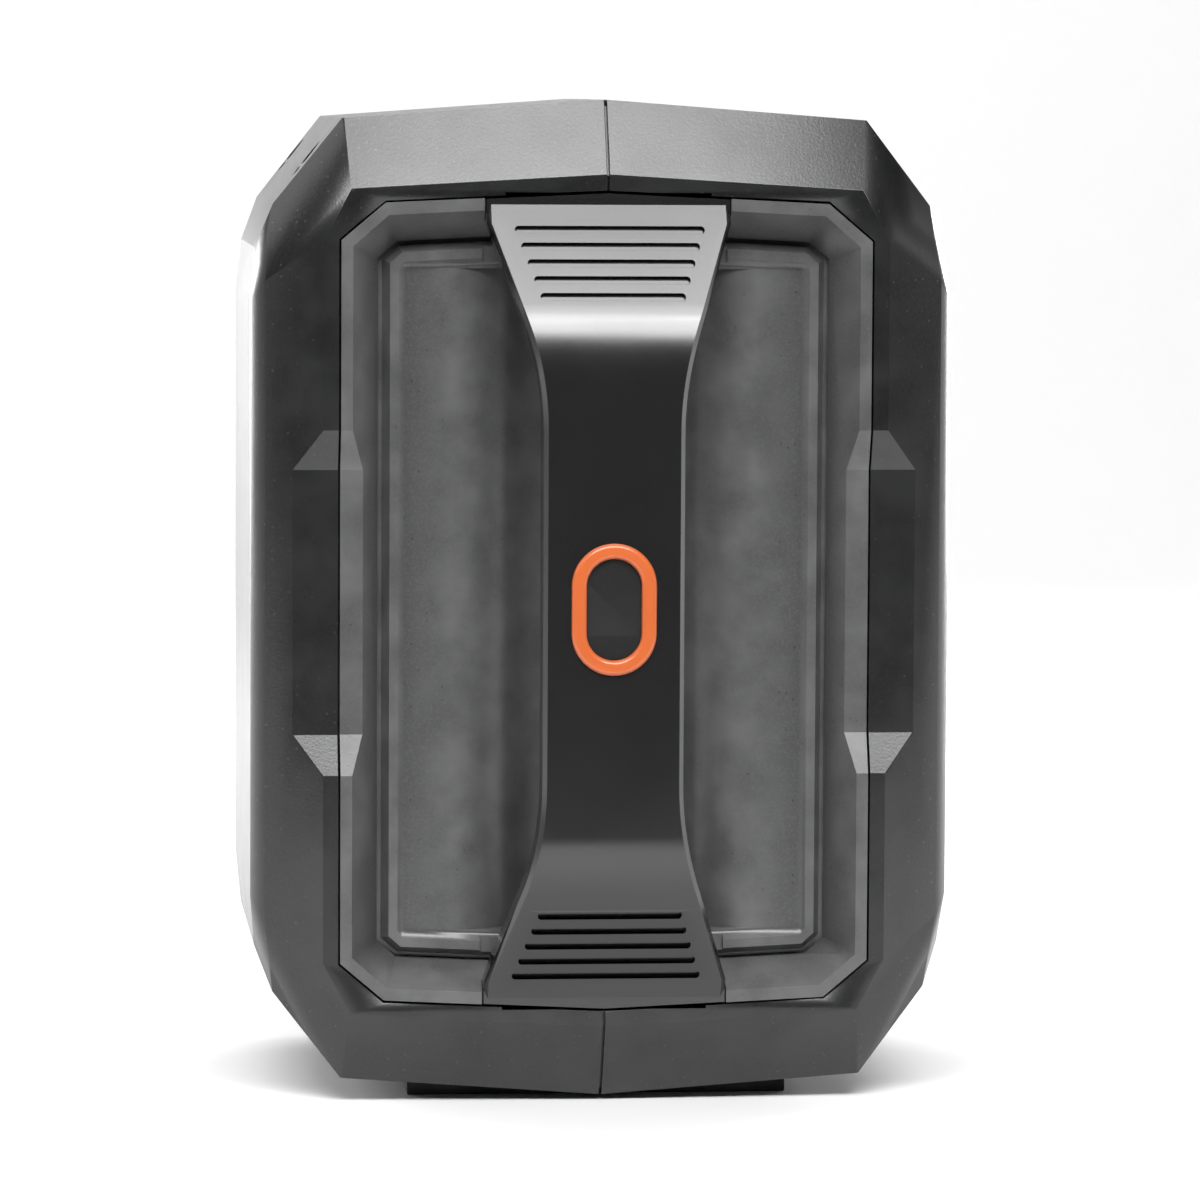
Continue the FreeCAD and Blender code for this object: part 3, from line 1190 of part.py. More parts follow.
def socket_form(name, grow, low, high):
    """Keyed outline of the jump socket's housing, padded along X."""
    left = f"({SOCKETS[0]} - socket_half - {grow})"
    right = f"({SOCKETS[1]} + socket_half + {grow})"
    reach = f"(socket_half + {grow})"
    return prism(name, "x", [
        (left, f"{JUMP_Z} - {reach}"),
        (f"{right} - socket_key", f"{JUMP_Z} - {reach}"),
        (right, f"{JUMP_Z} - {reach} + socket_key"),
        (right, f"{JUMP_Z} + {reach} - socket_key"),
        (f"{right} - socket_key", f"{JUMP_Z} + {reach}"),
        (left, f"{JUMP_Z} + {reach}"),
    ], low, high)


housing = socket_form("socket_housing", "0", JUMP_REAR, JUMP_MOUTH)
hole_shape = socket_form("jump_hole", "port_gap", "0", f"{BAY_BACK} + 1")
bay("jump_bezel", "jump_half", JUMP, [hole_shape])
cover("jump_cover", "jump_half", JUMP)
socket_bores = [rod(f"socket_bore_{i}", "x", f"{JUMP_REAR} - 1", FAR, "socket_radius", y=y, z=JUMP_Z) for i,
                y in enumerate(SOCKETS)]
piece("jump_socket", cut("jump_socket", housing, *socket_bores))
contacts = []
for i, y in enumerate(SOCKETS):
    tube = rod(f"contact_tube_{i}", "x", f"{JUMP_REAR} - 4", f"{JUMP_MOUTH} - 8", "socket_radius", y=y,
               z=JUMP_Z)
    hollow = rod(f"contact_hollow_{i}", "x", f"{JUMP_REAR} + 6", FAR, "socket_radius - 1.2", y=y, z=JUMP_Z)
    contacts.append(cut(f"contact_{i}", tube, hollow))
piece("jump_contacts", group("jump_contacts", *contacts))

# --------------------------------------------------------------------------- battery

battery_box = block("battery_box", (BATTERY_LEFT, BATTERY_RIGHT), (BATTERY_FRONT, BATTERY_BACK),
                    ("battery_low", BATTERY_TOP))
piece("battery_case", battery_box)
piece("battery_lid",
      block("battery_lid", (BATTERY_RIGHT, f"{BATTERY_RIGHT} + battery_lid_high * 0.5"),
            (f"{BATTERY_FRONT} + 2", f"{BATTERY_BACK} - 2"),
                           ("battery_low + 2", f"{BATTERY_TOP} - 2")))
TERMINAL_X = f"({BATTERY_RIGHT} + battery_lid_high * 0.5)"
TERMINAL_Y = f"({BATTERY_FRONT} + 2 * terminal)"
TERMINALS = (f"({BATTERY_TOP} - 14)", "(battery_low + 14)")
piece("battery_terminals", group("battery_terminals", *[
    fuse(f"terminal_{i}",
         block(f"terminal_block_{i}", (TERMINAL_X, f"{TERMINAL_X} + terminal"),
               (f"{TERMINAL_Y} - terminal", f"{TERMINAL_Y} + terminal"), (f"{z} - terminal",
                                                                          f"{z} + terminal")),
         rod(f"terminal_stud_{i}", "x", f"{TERMINAL_X} + terminal - 1", f"{TERMINAL_X} + terminal + 3",
             "terminal / 2", y=TERMINAL_Y, z=z))
    for i, z in enumerate(TERMINALS)
]))
piece("battery_foam",
      block("battery_foam", (f"{BATTERY_LEFT} + 4", f"{BATTERY_RIGHT} - 4"), (BATTERY_FRONT, BATTERY_BACK),
                            ("battery_low - foam", "battery_low")))
STRAP_Z = (f"({BATTERY_TOP} - 52)", f"({BATTERY_TOP} - 34)")
strap_back = block("strap_back", (f"{BATTERY_LEFT} + 20", f"{TERMINAL_X} + strap"),
                   (BATTERY_BACK, f"{BATTERY_BACK} + strap"), STRAP_Z)
strap_side = block("strap_side", (TERMINAL_X, f"{TERMINAL_X} + strap"),
                   (BATTERY_FRONT, f"{BATTERY_BACK} + strap"), STRAP_Z)
piece("battery_clamp", fuse("battery_clamp", strap_back, strap_side))

# --------------------------------------------------------------------------- power parts

POWER_X = f"({BATTERY_RIGHT} + power_gap)"
POWER_LOW = f"({BATTERY_TOP} - power_drop)"
POWER_HIGH = f"({BATTERY_TOP} + power_rise)"
piece("power_board",
      block("power_board", (POWER_X, f"{POWER_X} + board_thick"), (f"{MIDDLE} - 32", f"{MIDDLE} + 42"),
            (POWER_LOW, POWER_HIGH)))
POWER_FACE = f"({POWER_X} + board_thick)"
piece("board_spacers", group("board_spacers", *[
    rod(f"board_spacer_{i}", "x", TERMINAL_X, POWER_X, "2.5", y=f"{MIDDLE} + {y}", z=f"{BATTERY_TOP} - {z}")
    for i, (y, z) in enumerate(((-20, 26), (2, 26), (-20, 62), (2, 62)))
]))
piece("relay", fuse(
    "relay",
    block("relay_case", (POWER_FACE, f"{POWER_FACE} + 18"), (f"{MIDDLE} - 26", f"{MIDDLE} + 2"),
          (f"{POWER_LOW} + 62", f"{POWER_HIGH} - 6")),
    block("relay_tab", (f"{POWER_FACE} + 2", f"{POWER_FACE} + 4"), (f"{MIDDLE} - 31", f"{MIDDLE} - 25"),
          (f"{POWER_LOW} + 70", f"{POWER_LOW} + 78")),
))
fins = [
    block(f"fin_{i}", (f"{POWER_FACE} + 2", f"{POWER_FACE} + 14"),
          (f"{MIDDLE} + 10 + {i} * 5", f"{MIDDLE} + 11.6 + {i} * 5"),
          (f"{POWER_LOW} + 50", f"{POWER_HIGH} - 8"))
    for i in range(6)
]
piece("heat_sink",
      fuse("heat_sink",
           block("fin_base", (POWER_FACE, f"{POWER_FACE} + 2.5"), (f"{MIDDLE} + 10", f"{MIDDLE} + 36.6"),
                                           (f"{POWER_LOW} + 50", f"{POWER_HIGH} - 8")), *fins))
piece("capacitors", group("capacitors", *[
    turned(f"capacitor_{i}", [
        ("0", "0"), ("5", "0"), ("5", "17"), ("4.2", "18"), ("0", "18"),
    ], (1, 0, 0), x=POWER_FACE, y=f"{MIDDLE} - 22 + {i} * 14", z=f"{POWER_LOW} + 46")
    for i in range(3)
]))
piece("buzzer", cut("buzzer",
                    rod("buzzer_case", "x", POWER_FACE, f"{POWER_FACE} + 8", "6", y=f"{MIDDLE} + 36",
                        z=f"{POWER_LOW} + 26"),
                    rod("buzzer_hole", "x", f"{POWER_FACE} + 6", f"{POWER_FACE} + 9", "1.2",
                        y=f"{MIDDLE} + 36", z=f"{POWER_LOW} + 26")))
FUSE_Y = (f"({BATTERY_FRONT} + 4.5)", f"({BATTERY_FRONT} + 44.5)")
holder_base = block("holder_base", (f"{BATTERY_RIGHT} - 24", f"{BATTERY_RIGHT} - 4"),
                    (f"{FUSE_Y[0]} - 3", f"{FUSE_Y[1]} + 3"), (BATTERY_TOP, f"{BATTERY_TOP} + 6"))
studs = [rod(f"fuse_stud_{i}", "z", f"{BATTERY_TOP} + 5", f"{BATTERY_TOP} + 11", "fuse_stud",
             x=f"{BATTERY_RIGHT} - 14", y=y)
         for i, y in enumerate((f"{FUSE_Y[0]} + 3", f"{FUSE_Y[1]} - 3"))]
piece("fuse_holder", fuse("fuse_holder", holder_base, *studs))
fuse_strip = block("fuse_strip", (f"{BATTERY_RIGHT} - 20", f"{BATTERY_RIGHT} - 8"), FUSE_Y,
                   (f"{BATTERY_TOP} + 6", f"{BATTERY_TOP} + 7"))
fuse_block = block("fuse_block", (f"{BATTERY_RIGHT} - 20", f"{BATTERY_RIGHT} - 8"),
                   (f"{FUSE_Y[0]} + 10", f"{FUSE_Y[1]} - 10"),
                   (f"{BATTERY_TOP} + 6", f"{BATTERY_TOP} + 12"))
fuse_eyes = [rod(f"fuse_eye_{i}", "z", f"{BATTERY_TOP} + 4", f"{BATTERY_TOP} + 14", "fuse_stud + 0.05",
                 x=f"{BATTERY_RIGHT} - 14", y=y)
             for i, y in enumerate((f"{FUSE_Y[0]} + 3", f"{FUSE_Y[1]} - 3"))]
piece("main_fuse", cut("main_fuse", fuse("fuse_body", fuse_strip, fuse_block), *fuse_eyes))


def lead(name, points, radius):
    """Round lead along straight runs joined by tangent arcs, from a list of corner points."""
    edges = []
    start = points[0]
    for before, corner, after in zip(points, points[1:], points[2:]):
        first = (before - corner)
        second = (after - corner)
        shorter = min(first.Length, second.Length)
        turn = math.pi - first.getAngle(second)
        bend = 0.48 * shorter / math.tan(turn / 2)
        bend = min(bend, 5 * radius)
        reach = bend * math.tan(turn / 2)
        first.normalize()
        second.normalize()
        begin = corner + first * reach
        finish = corner + second * reach
        bisector = (first + second).normalize()
        middle = corner + bisector * (bend / math.cos(turn / 2) - bend)
        edges.append(Part.LineSegment(start, begin).toShape())
        edges.append(Part.Arc(begin, middle, finish).toShape())
        start = finish
    edges.append(Part.LineSegment(start, points[-1]).toShape())
    path = Part.Wire(edges)
    section = Part.Wire(Part.makeCircle(radius, points[0], points[1] - points[0]))
    solid = path.makePipeShell([section], True, False)
    form = doc.addObject("Part::Feature", name)
    form.Shape = solid
    return form


middle_y = RIM_Y + dim.body_depth / 2
battery_front = RIM_Y + dim.well_depth + dim.tray_wall + dim.battery_gap
battery_right = dim.battery_in - dim.body_width / 2 + dim.battery_x
stud_x = battery_right + dim.battery_lid_high * 0.5 + dim.terminal + 3
stud_y = battery_front + 2 * dim.terminal
contact_x = dim.body_width / 2 + dim.panel_proud - dim.bay_depth - 26
contact_z = MID_Z + dim.jump_top - dim.jump_high * 0.55
radius = dim.lead_radius
low_z = dim.battery_low + 14
piece("negative_lead", lead("negative_lead", [
    Vector(stud_x, stud_y, low_z),
    Vector((stud_x + contact_x) / 2, stud_y, low_z),
    Vector((stud_x + contact_x) / 2, middle_y - dim.socket_pitch / 2, contact_z),
    Vector(contact_x, middle_y - dim.socket_pitch / 2, contact_z),
], radius))
fuse_x = battery_right - 14
fuse_end_y = battery_front + 41.5
fuse_z = dim.battery_low + dim.battery_z + 11
drop_x = battery_right + 10
drop_y = fuse_end_y + 10
contact_y = middle_y + dim.socket_pitch / 2
piece("positive_lead", lead("positive_lead", [
    Vector(fuse_x, fuse_end_y, fuse_z),
    Vector(fuse_x, fuse_end_y, fuse_z + 20),
    Vector(drop_x, drop_y, fuse_z + 20),
    Vector(drop_x, drop_y + 4, fuse_z - 22),
    Vector(drop_x, drop_y, contact_z + 42),
    Vector(drop_x - 2, contact_y + 2, contact_z + 2),
    Vector(contact_x - 7, contact_y, contact_z),
    Vector(contact_x, contact_y, contact_z),
], radius))

# --------------------------------------------------------------------------- checks and files

doc.recompute()
for thing in doc.Objects:
    if "Invalid" in thing.State or "Error" in thing.State:
        raise RuntimeError(f"{thing.Name} failed: {thing.State}")
os.makedirs("parts", exist_ok=True)
for name, thing in PIECES.items():
    shape = thing.Shape
    if shape.isNull() or not shape.isValid() or not shape.Solids:
        raise RuntimeError(f"{name} has no valid solid")
    shape.exportStep(f"parts/{name}.step")
    print(f"{name}: {len(shape.Solids)} solids, {shape.Volume / 1000:.1f} cm3")
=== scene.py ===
"""Looks of a portable jump starter pack: faceted clamshell casing, inset tray and bridge handle."""

import logging
import math
from collections.abc import Callable
from dataclasses import dataclass, field
from enum import Enum

import bmesh
import bpy
from mathutils import Matrix, Vector


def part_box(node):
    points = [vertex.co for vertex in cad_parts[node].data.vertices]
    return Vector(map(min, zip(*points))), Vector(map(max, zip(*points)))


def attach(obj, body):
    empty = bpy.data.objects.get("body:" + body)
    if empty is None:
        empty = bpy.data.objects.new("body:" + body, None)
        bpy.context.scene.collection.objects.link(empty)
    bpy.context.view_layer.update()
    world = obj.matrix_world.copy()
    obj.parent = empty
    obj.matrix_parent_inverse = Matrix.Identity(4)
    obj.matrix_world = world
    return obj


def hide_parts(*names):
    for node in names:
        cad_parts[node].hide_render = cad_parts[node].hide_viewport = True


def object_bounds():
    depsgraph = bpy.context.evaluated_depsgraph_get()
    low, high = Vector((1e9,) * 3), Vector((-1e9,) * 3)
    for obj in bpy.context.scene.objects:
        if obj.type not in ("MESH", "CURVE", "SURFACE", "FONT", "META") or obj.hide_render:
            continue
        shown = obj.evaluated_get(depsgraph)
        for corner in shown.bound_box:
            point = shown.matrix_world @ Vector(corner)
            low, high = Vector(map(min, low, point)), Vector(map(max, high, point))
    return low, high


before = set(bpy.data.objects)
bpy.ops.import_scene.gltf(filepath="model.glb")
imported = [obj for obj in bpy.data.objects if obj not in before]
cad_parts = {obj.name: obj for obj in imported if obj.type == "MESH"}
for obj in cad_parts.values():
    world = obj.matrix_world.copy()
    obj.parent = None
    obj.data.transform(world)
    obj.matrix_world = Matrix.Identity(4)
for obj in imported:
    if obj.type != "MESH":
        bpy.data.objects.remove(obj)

log = logging.getLogger("jump_starter")

CAD_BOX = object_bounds()
MM = 0.001
ARC_STEPS = 24
# Name of the mark on rounded edges, which are painted lighter: partly rubbing, partly a painted edge
# highlight.
EDGE = "edge_rub_and_highlight"
Colour = tuple[float, float, float]
Outline = list[tuple[float, float]]


# ------------------------------------------------------------------------------------ materials


class Graph:
    """A short way to wire a material's nodes."""

    def __init__(self, name: str) -> None:
        """Starts an empty material with a principled shader.

        Args:
            name: The material's name.
        """
        self.material = bpy.data.materials.new(name)
        self.material.use_nodes = True
        self.tree = self.material.node_tree
        self.tree.nodes.clear()
        self.output = self.add("ShaderNodeOutputMaterial")
        self.shader = self.add("ShaderNodeBsdfPrincipled")
        self.link(self.shader.outputs["BSDF"], self.output.inputs["Surface"])
        self.coords = self.add("ShaderNodeTexCoord").outputs["Object"]

    def add(self, kind: str, **settings: object) -> bpy.types.Node:
        """Adds a node.

        Args:
            kind: The node's type name.
            settings: Properties to set on it.

        Returns:
            The new node.
        """
        node = self.tree.nodes.new(kind)
        for key, value in settings.items():
            setattr(node, key, value)
        return node

    def link(self, source: bpy.types.NodeSocket, target: bpy.types.NodeSocket) -> None:
        """Joins an output to an input."""
        self.tree.links.new(source, target)

    def noise(self, scale: float, detail: float = 2.0, rough: float = 0.5) -> bpy.types.NodeSocket:
        """Adds fractal noise over the object's coordinates.

        Args:
            scale: Features per metre.
            detail: Octaves.
            rough: Strength of the finer octaves.

        Returns:
            The noise value.
        """
        node = self.add("ShaderNodeTexNoise")
        node.inputs["Scale"].default_value = scale
        node.inputs["Detail"].default_value = detail
        node.inputs["Roughness"].default_value = rough
        self.link(self.coords, node.inputs["Vector"])
        return node.outputs["Fac"]

    def ramp(self, value: bpy.types.NodeSocket, low: float, high: float,
             to_low: float = 0.0, to_high: float = 1.0) -> bpy.types.NodeSocket:
        """Maps a value from one range to another, clamped.

        Args:
            value: The value to map.
            low: Start of the range it comes from.
            high: End of the range it comes from.
            to_low: Start of the range it goes to.
            to_high: End of the range it goes to.

        Returns:
            The mapped value.
        """
        node = self.add("ShaderNodeMapRange")
        for socket, number in zip(("From Min", "From Max", "To Min", "To Max"), (low, high, to_low, to_high)):
            node.inputs[socket].default_value = number
        self.link(value, node.inputs["Value"])
        return node.outputs["Result"]

    def maths(self, operation: str, first: bpy.types.NodeSocket,
              second: bpy.types.NodeSocket | float) -> bpy.types.NodeSocket:
        """Adds a sum, product or comparison.

        Args:
            operation: The math node's operation.
            first: Its first value.
            second: Its second value, a socket or a number.

        Returns:
            The result.
        """
        node = self.add("ShaderNodeMath", operation=operation)
        self.link(first, node.inputs[0])
        if isinstance(second, (int, float)):
            node.inputs[1].default_value = second
        else:
            self.link(second, node.inputs[1])
        return node.outputs["Value"]

    def mix(self, factor: bpy.types.NodeSocket, first: Colour | bpy.types.NodeSocket,
            second: Colour | bpy.types.NodeSocket) -> bpy.types.NodeSocket:
        """Blends two colours.

        Args:
            factor: 0 for the first colour, 1 for the second.
            first: A colour or a socket.
            second: A colour or a socket.

        Returns:
            The blended colour.
        """
        node = self.add("ShaderNodeMix", data_type="RGBA")
        self.link(factor, node.inputs["Factor"])
        for socket, colour in ((node.inputs[6], first), (node.inputs[7], second)):
            if isinstance(colour, tuple):
                socket.default_value = (*colour, 1.0)
            else:
                self.link(colour, socket)
        return node.outputs[2]

    def flecks(self, scale: float, share: float, size: float) -> bpy.types.NodeSocket:
        """Adds sparse dots, each in its own random cell.

        Args:
            scale: Cells per metre.
            share: Share of the cells that hold a dot.
            size: The dot's radius as a share of a cell.

        Returns:
            1 inside a dot, 0 outside.
        """
        cells = self.add("ShaderNodeTexVoronoi")
        cells.inputs["Scale"].default_value = scale
        self.link(self.coords, cells.inputs["Vector"])
        parts = self.add("ShaderNodeSeparateColor")
        self.link(cells.outputs["Color"], parts.inputs["Color"])
        chosen = self.maths("LESS_THAN", parts.outputs["Red"], share)
        near = self.maths("LESS_THAN", cells.outputs["Distance"], size)
        return self.maths("MULTIPLY", chosen, near)

    def wear_and_highlight(self) -> bpy.types.NodeSocket:
        """Returns the edge attribute that rounded edges carry, 1 on an edge and 0 elsewhere; it marks where
        edges are painted lighter, for rubbing and a painted edge highlight.
        """
        return self.add("ShaderNodeAttribute", attribute_name=EDGE).outputs["Fac"]

    def bump(self, height: bpy.types.NodeSocket, depth: float, strength: float = 1.0) -> None:
        """Drives the shader's normal from a height.

        Args:
            height: The height, about 0 to 1.
            depth: Height of a value of 1, in metres.
            strength: How strongly it shows.
        """
        node = self.add("ShaderNodeBump")
        node.inputs["Distance"].default_value = depth
        node.inputs["Strength"].default_value = strength
        self.link(height, node.inputs["Height"])
        self.link(node.outputs["Normal"], self.shader.inputs["Normal"])

    def set(self, **values: float | Colour) -> None:
        """Sets shader sockets by name, with underscores for spaces."""
        for name, value in values.items():
            socket = self.shader.inputs[name.replace("_", " ")]
            socket.default_value = (*value, 1.0) if isinstance(value, tuple) else value


@dataclass(frozen=True)
class Moulded:
    """Injection-moulded plastic with a spark-eroded grain.

    Attributes:
        name: The material's name.
        colour: Body colour.
        roughness: Mean roughness.
        grain: Grains per metre.
        grain_depth: Height of the grain, in metres.
        fleck: Colour of the light flecks.
        fleck_share: Share of cells with a fleck.
        rub_and_highlight: How much lighter a rounded edge is, partly rubbing and partly a painted edge
            highlight.
        specular: Specular level.
        coat: Weight of a gloss coat.
        contrast: How much lighter the tops of the grain are.
    """

    name: str
    colour: Colour
    roughness: float = 0.5
    grain: float = 2600.0
    grain_depth: float = 4e-5
    fleck: Colour = (0.3, 0.3, 0.3)
    fleck_share: float = 0.0
    rub_and_highlight: float = 1.5
    specular: float = 0.5
    coat: float = 0.0
    contrast: float = 1.4

    def build(self) -> bpy.types.Material:
        """Returns the finished material."""
        graph = Graph(self.name)
        cloud = graph.noise(14.0, 3.0)
        fine = graph.noise(self.grain, 2.0, 0.6)
        dark = tuple(c * 0.985 for c in self.colour)
        light = tuple(c * 1.015 for c in self.colour)
        colour = graph.mix(graph.ramp(cloud, 0.3, 0.7), dark, light)
        grained = tuple(min(1.0, c * self.contrast + 0.002) for c in self.colour)
        colour = graph.mix(graph.ramp(fine, 0.48, 0.66), colour, grained)
        if self.fleck_share:
            colour = graph.mix(graph.flecks(520.0, self.fleck_share, 0.16), colour, self.fleck)
        # Rounded edges get a lighter colour: partly rubbing, partly a painted edge highlight.
        rubbed_and_highlit = tuple(min(1.0, c * self.rub_and_highlight + 0.006) for c in self.colour)
        patch = graph.ramp(graph.noise(90.0, 4.0), 0.35, 0.65, 0.25, 1.0)
        colour = graph.mix(graph.maths("MULTIPLY", graph.wear_and_highlight(), patch), colour, rubbed_and_highlit)
        graph.link(colour, graph.shader.inputs["Base Color"])
        rough = graph.ramp(graph.noise(60.0, 3.0), 0.3, 0.7, self.roughness - 0.015, self.roughness + 0.02)
        graph.link(rough, graph.shader.inputs["Roughness"])
        graph.set(Specular_IOR_Level=self.specular, Coat_Weight=self.coat, Coat_Roughness=0.25)
        graph.bump(fine, self.grain_depth, 0.6)
        return graph.material


@dataclass(frozen=True)
class Satin:
    """Smooth satin plastic, with the faint unevenness of a polished mould.

    Attributes:
        name: The material's name.
        colour: Body colour.
        roughness: Mean roughness.
        coat: Weight of the gloss skin.
        coat_roughness: Roughness of the gloss skin.
    """

    name: str
    colour: Colour
    roughness: float = 0.3
    coat: float = 0.3
    coat_roughness: float = 0.12

    def build(self) -> bpy.types.Material:
        """Returns the finished material."""
        graph = Graph(self.name)
        cloud = graph.noise(22.0, 3.0)
        dark = tuple(c * 0.92 for c in self.colour)
        light = tuple(c * 1.08 for c in self.colour)
        colour = graph.mix(graph.ramp(cloud, 0.3, 0.7), dark, light)
        dust = tuple(min(1.0, c + 0.05) for c in self.colour)
        colour = graph.mix(graph.flecks(300.0, 0.05, 0.06), colour, dust)
        # Rounded edges get a lighter colour: partly rubbing, partly a painted edge highlight.
        rubbed_and_highlit = tuple(min(1.0, c * 1.3 + 0.01) for c in self.colour)
        colour = graph.mix(graph.wear_and_highlight(), colour, rubbed_and_highlit)
        graph.link(colour, graph.shader.inputs["Base Color"])
        rough = graph.ramp(graph.noise(45.0, 4.0), 0.3, 0.7, self.roughness - 0.03, self.roughness + 0.05)
        graph.link(rough, graph.shader.inputs["Roughness"])
        graph.set(Coat_Weight=self.coat, Coat_Roughness=self.coat_roughness)
        graph.bump(graph.noise(1800.0, 2.0), 6e-6, 0.5)
        return graph.material


@dataclass(frozen=True)
class Rubber:
    """Matt rubber with a powdery bloom.

    Attributes:
        name: The material's name.
        colour: Body colour.
        bloom: Colour of the bloom.
    """

    name: str
    colour: Colour
    bloom: Colour = (0.09, 0.09, 0.09)

    def build(self) -> bpy.types.Material:
        """Returns the finished material."""
        graph = Graph(self.name)
        patch = graph.ramp(graph.noise(70.0, 5.0, 0.6), 0.45, 0.75, 0.0, 0.35)
        graph.link(graph.mix(patch, self.colour, self.bloom), graph.shader.inputs["Base Color"])
        rough = graph.ramp(graph.noise(120.0, 3.0), 0.3, 0.7, 0.68, 0.85)
        graph.link(rough, graph.shader.inputs["Roughness"])
        graph.set(Specular_IOR_Level=0.35, Sheen_Weight=0.15, Sheen_Roughness=0.5)
        graph.bump(graph.noise(1500.0, 3.0), 3e-5, 0.6)
        return graph.material


@dataclass(frozen=True)
class Metal:
    """Plated or brushed metal.

    Attributes:
        name: The material's name.
        colour: Metal colour.
        roughness: Mean roughness.
        brushed: Stretch of the brush lines along Z, 1 for none.
    """

    name: str
    colour: Colour
    roughness: float = 0.3
    brushed: float = 1.0

    def build(self) -> bpy.types.Material:
        """Returns the finished material."""
        graph = Graph(self.name)
        mapping = graph.add("ShaderNodeMapping")
        mapping.inputs["Scale"].default_value = (1.0, 1.0, 1.0 / self.brushed)
        graph.link(graph.coords, mapping.inputs["Vector"])
        graph.coords = mapping.outputs["Vector"]
        lines = graph.noise(1400.0, 3.0)
        tint = tuple(c * 0.82 for c in self.colour)
        graph.link(graph.mix(lines, tint, self.colour), graph.shader.inputs["Base Color"])
        rough = graph.ramp(lines, 0.3, 0.7, self.roughness - 0.06, self.roughness + 0.08)
        graph.link(rough, graph.shader.inputs["Roughness"])
        graph.set(Metallic=1.0)
        graph.bump(lines, 8e-6, 0.5)
        return graph.material


@dataclass(frozen=True)
class Clear:
    """Clear or tinted plastic that light passes through.

    Attributes:
        name: The material's name.
        colour: Tint.
        roughness: Mean roughness.
        transmission: Share of light that passes.
        ribs: Ribs per metre pressed into it, 0 for none.
    """

    name: str
    colour: Colour
    roughness: float = 0.04
    transmission: float = 1.0
    ribs: float = 0.0

    def build(self) -> bpy.types.Material:
        """Returns the finished material."""
        graph = Graph(self.name)
        haze = graph.noise(30.0, 4.0)
        deep = tuple(c * 0.8 for c in self.colour)
        tint = graph.mix(graph.ramp(haze, 0.4, 0.8, 0.0, 0.2), self.colour, deep)
        graph.link(tint, graph.shader.inputs["Base Color"])
        rough = graph.ramp(haze, 0.3, 0.7, self.roughness, self.roughness + 0.04)
        graph.link(rough, graph.shader.inputs["Roughness"])
        graph.set(Transmission_Weight=self.transmission, IOR=1.49)
        if self.ribs:
            wave = graph.add("ShaderNodeTexWave", bands_direction="Y")
            wave.inputs["Scale"].default_value = self.ribs
            graph.link(graph.coords, wave.inputs["Vector"])
            graph.bump(wave.outputs["Fac"], 2e-4, 0.6)
        return graph.material


@dataclass(frozen=True)
class Board:
    """Circuit board: solder mask with copper tracks and white dots of print.

    Attributes:
        name: The material's name.
        mask: Colour of the solder mask.
    """

    name: str
    mask: Colour = (0.01, 0.11, 0.045)

    def build(self) -> bpy.types.Material:
        """Returns the finished material."""
        graph = Graph(self.name)
        bricks = graph.add("ShaderNodeTexBrick")
        bricks.inputs["Scale"].default_value = 180.0
        bricks.inputs["Mortar Size"].default_value = 0.03
        mapping = graph.add("ShaderNodeMapping")
        mapping.inputs["Rotation"].default_value = (0.0, math.pi / 2, 0.0)
        graph.link(graph.coords, mapping.inputs["Vector"])
        graph.link(mapping.outputs["Vector"], bricks.inputs["Vector"])
        tracks = tuple(min(1.0, c * 1.9) for c in self.mask)
        colour = graph.mix(bricks.outputs["Fac"], self.mask, tracks)
        colour = graph.mix(graph.flecks(240.0, 0.3, 0.18), colour, (0.75, 0.73, 0.62))
        graph.link(colour, graph.shader.inputs["Base Color"])
        rough = graph.ramp(graph.noise(50.0, 3.0), 0.3, 0.7, 0.22, 0.34)
        graph.link(rough, graph.shader.inputs["Roughness"])
        graph.bump(bricks.outputs["Fac"], 3e-5, 0.7)
        return graph.material


@dataclass(frozen=True)
class Lit:
    """Display segments that glow faintly.

    Attributes:
        name: The material's name.
        colour: Colour of the glow.
        glow: Strength of the glow.
    """

    name: str
    colour: Colour
    glow: float = 1.0

    def build(self) -> bpy.types.Material:
        """Returns the finished material."""
        graph = Graph(self.name)
        tint = graph.mix(graph.ramp(graph.noise(400.0), 0.3, 0.7, 0.0, 0.25), self.colour, (0.9, 0.95, 1.0))
        graph.link(tint, graph.shader.inputs["Base Color"])
        graph.link(tint, graph.shader.inputs["Emission Color"])
        graph.set(Emission_Strength=self.glow, Roughness=0.4)
        return graph.material


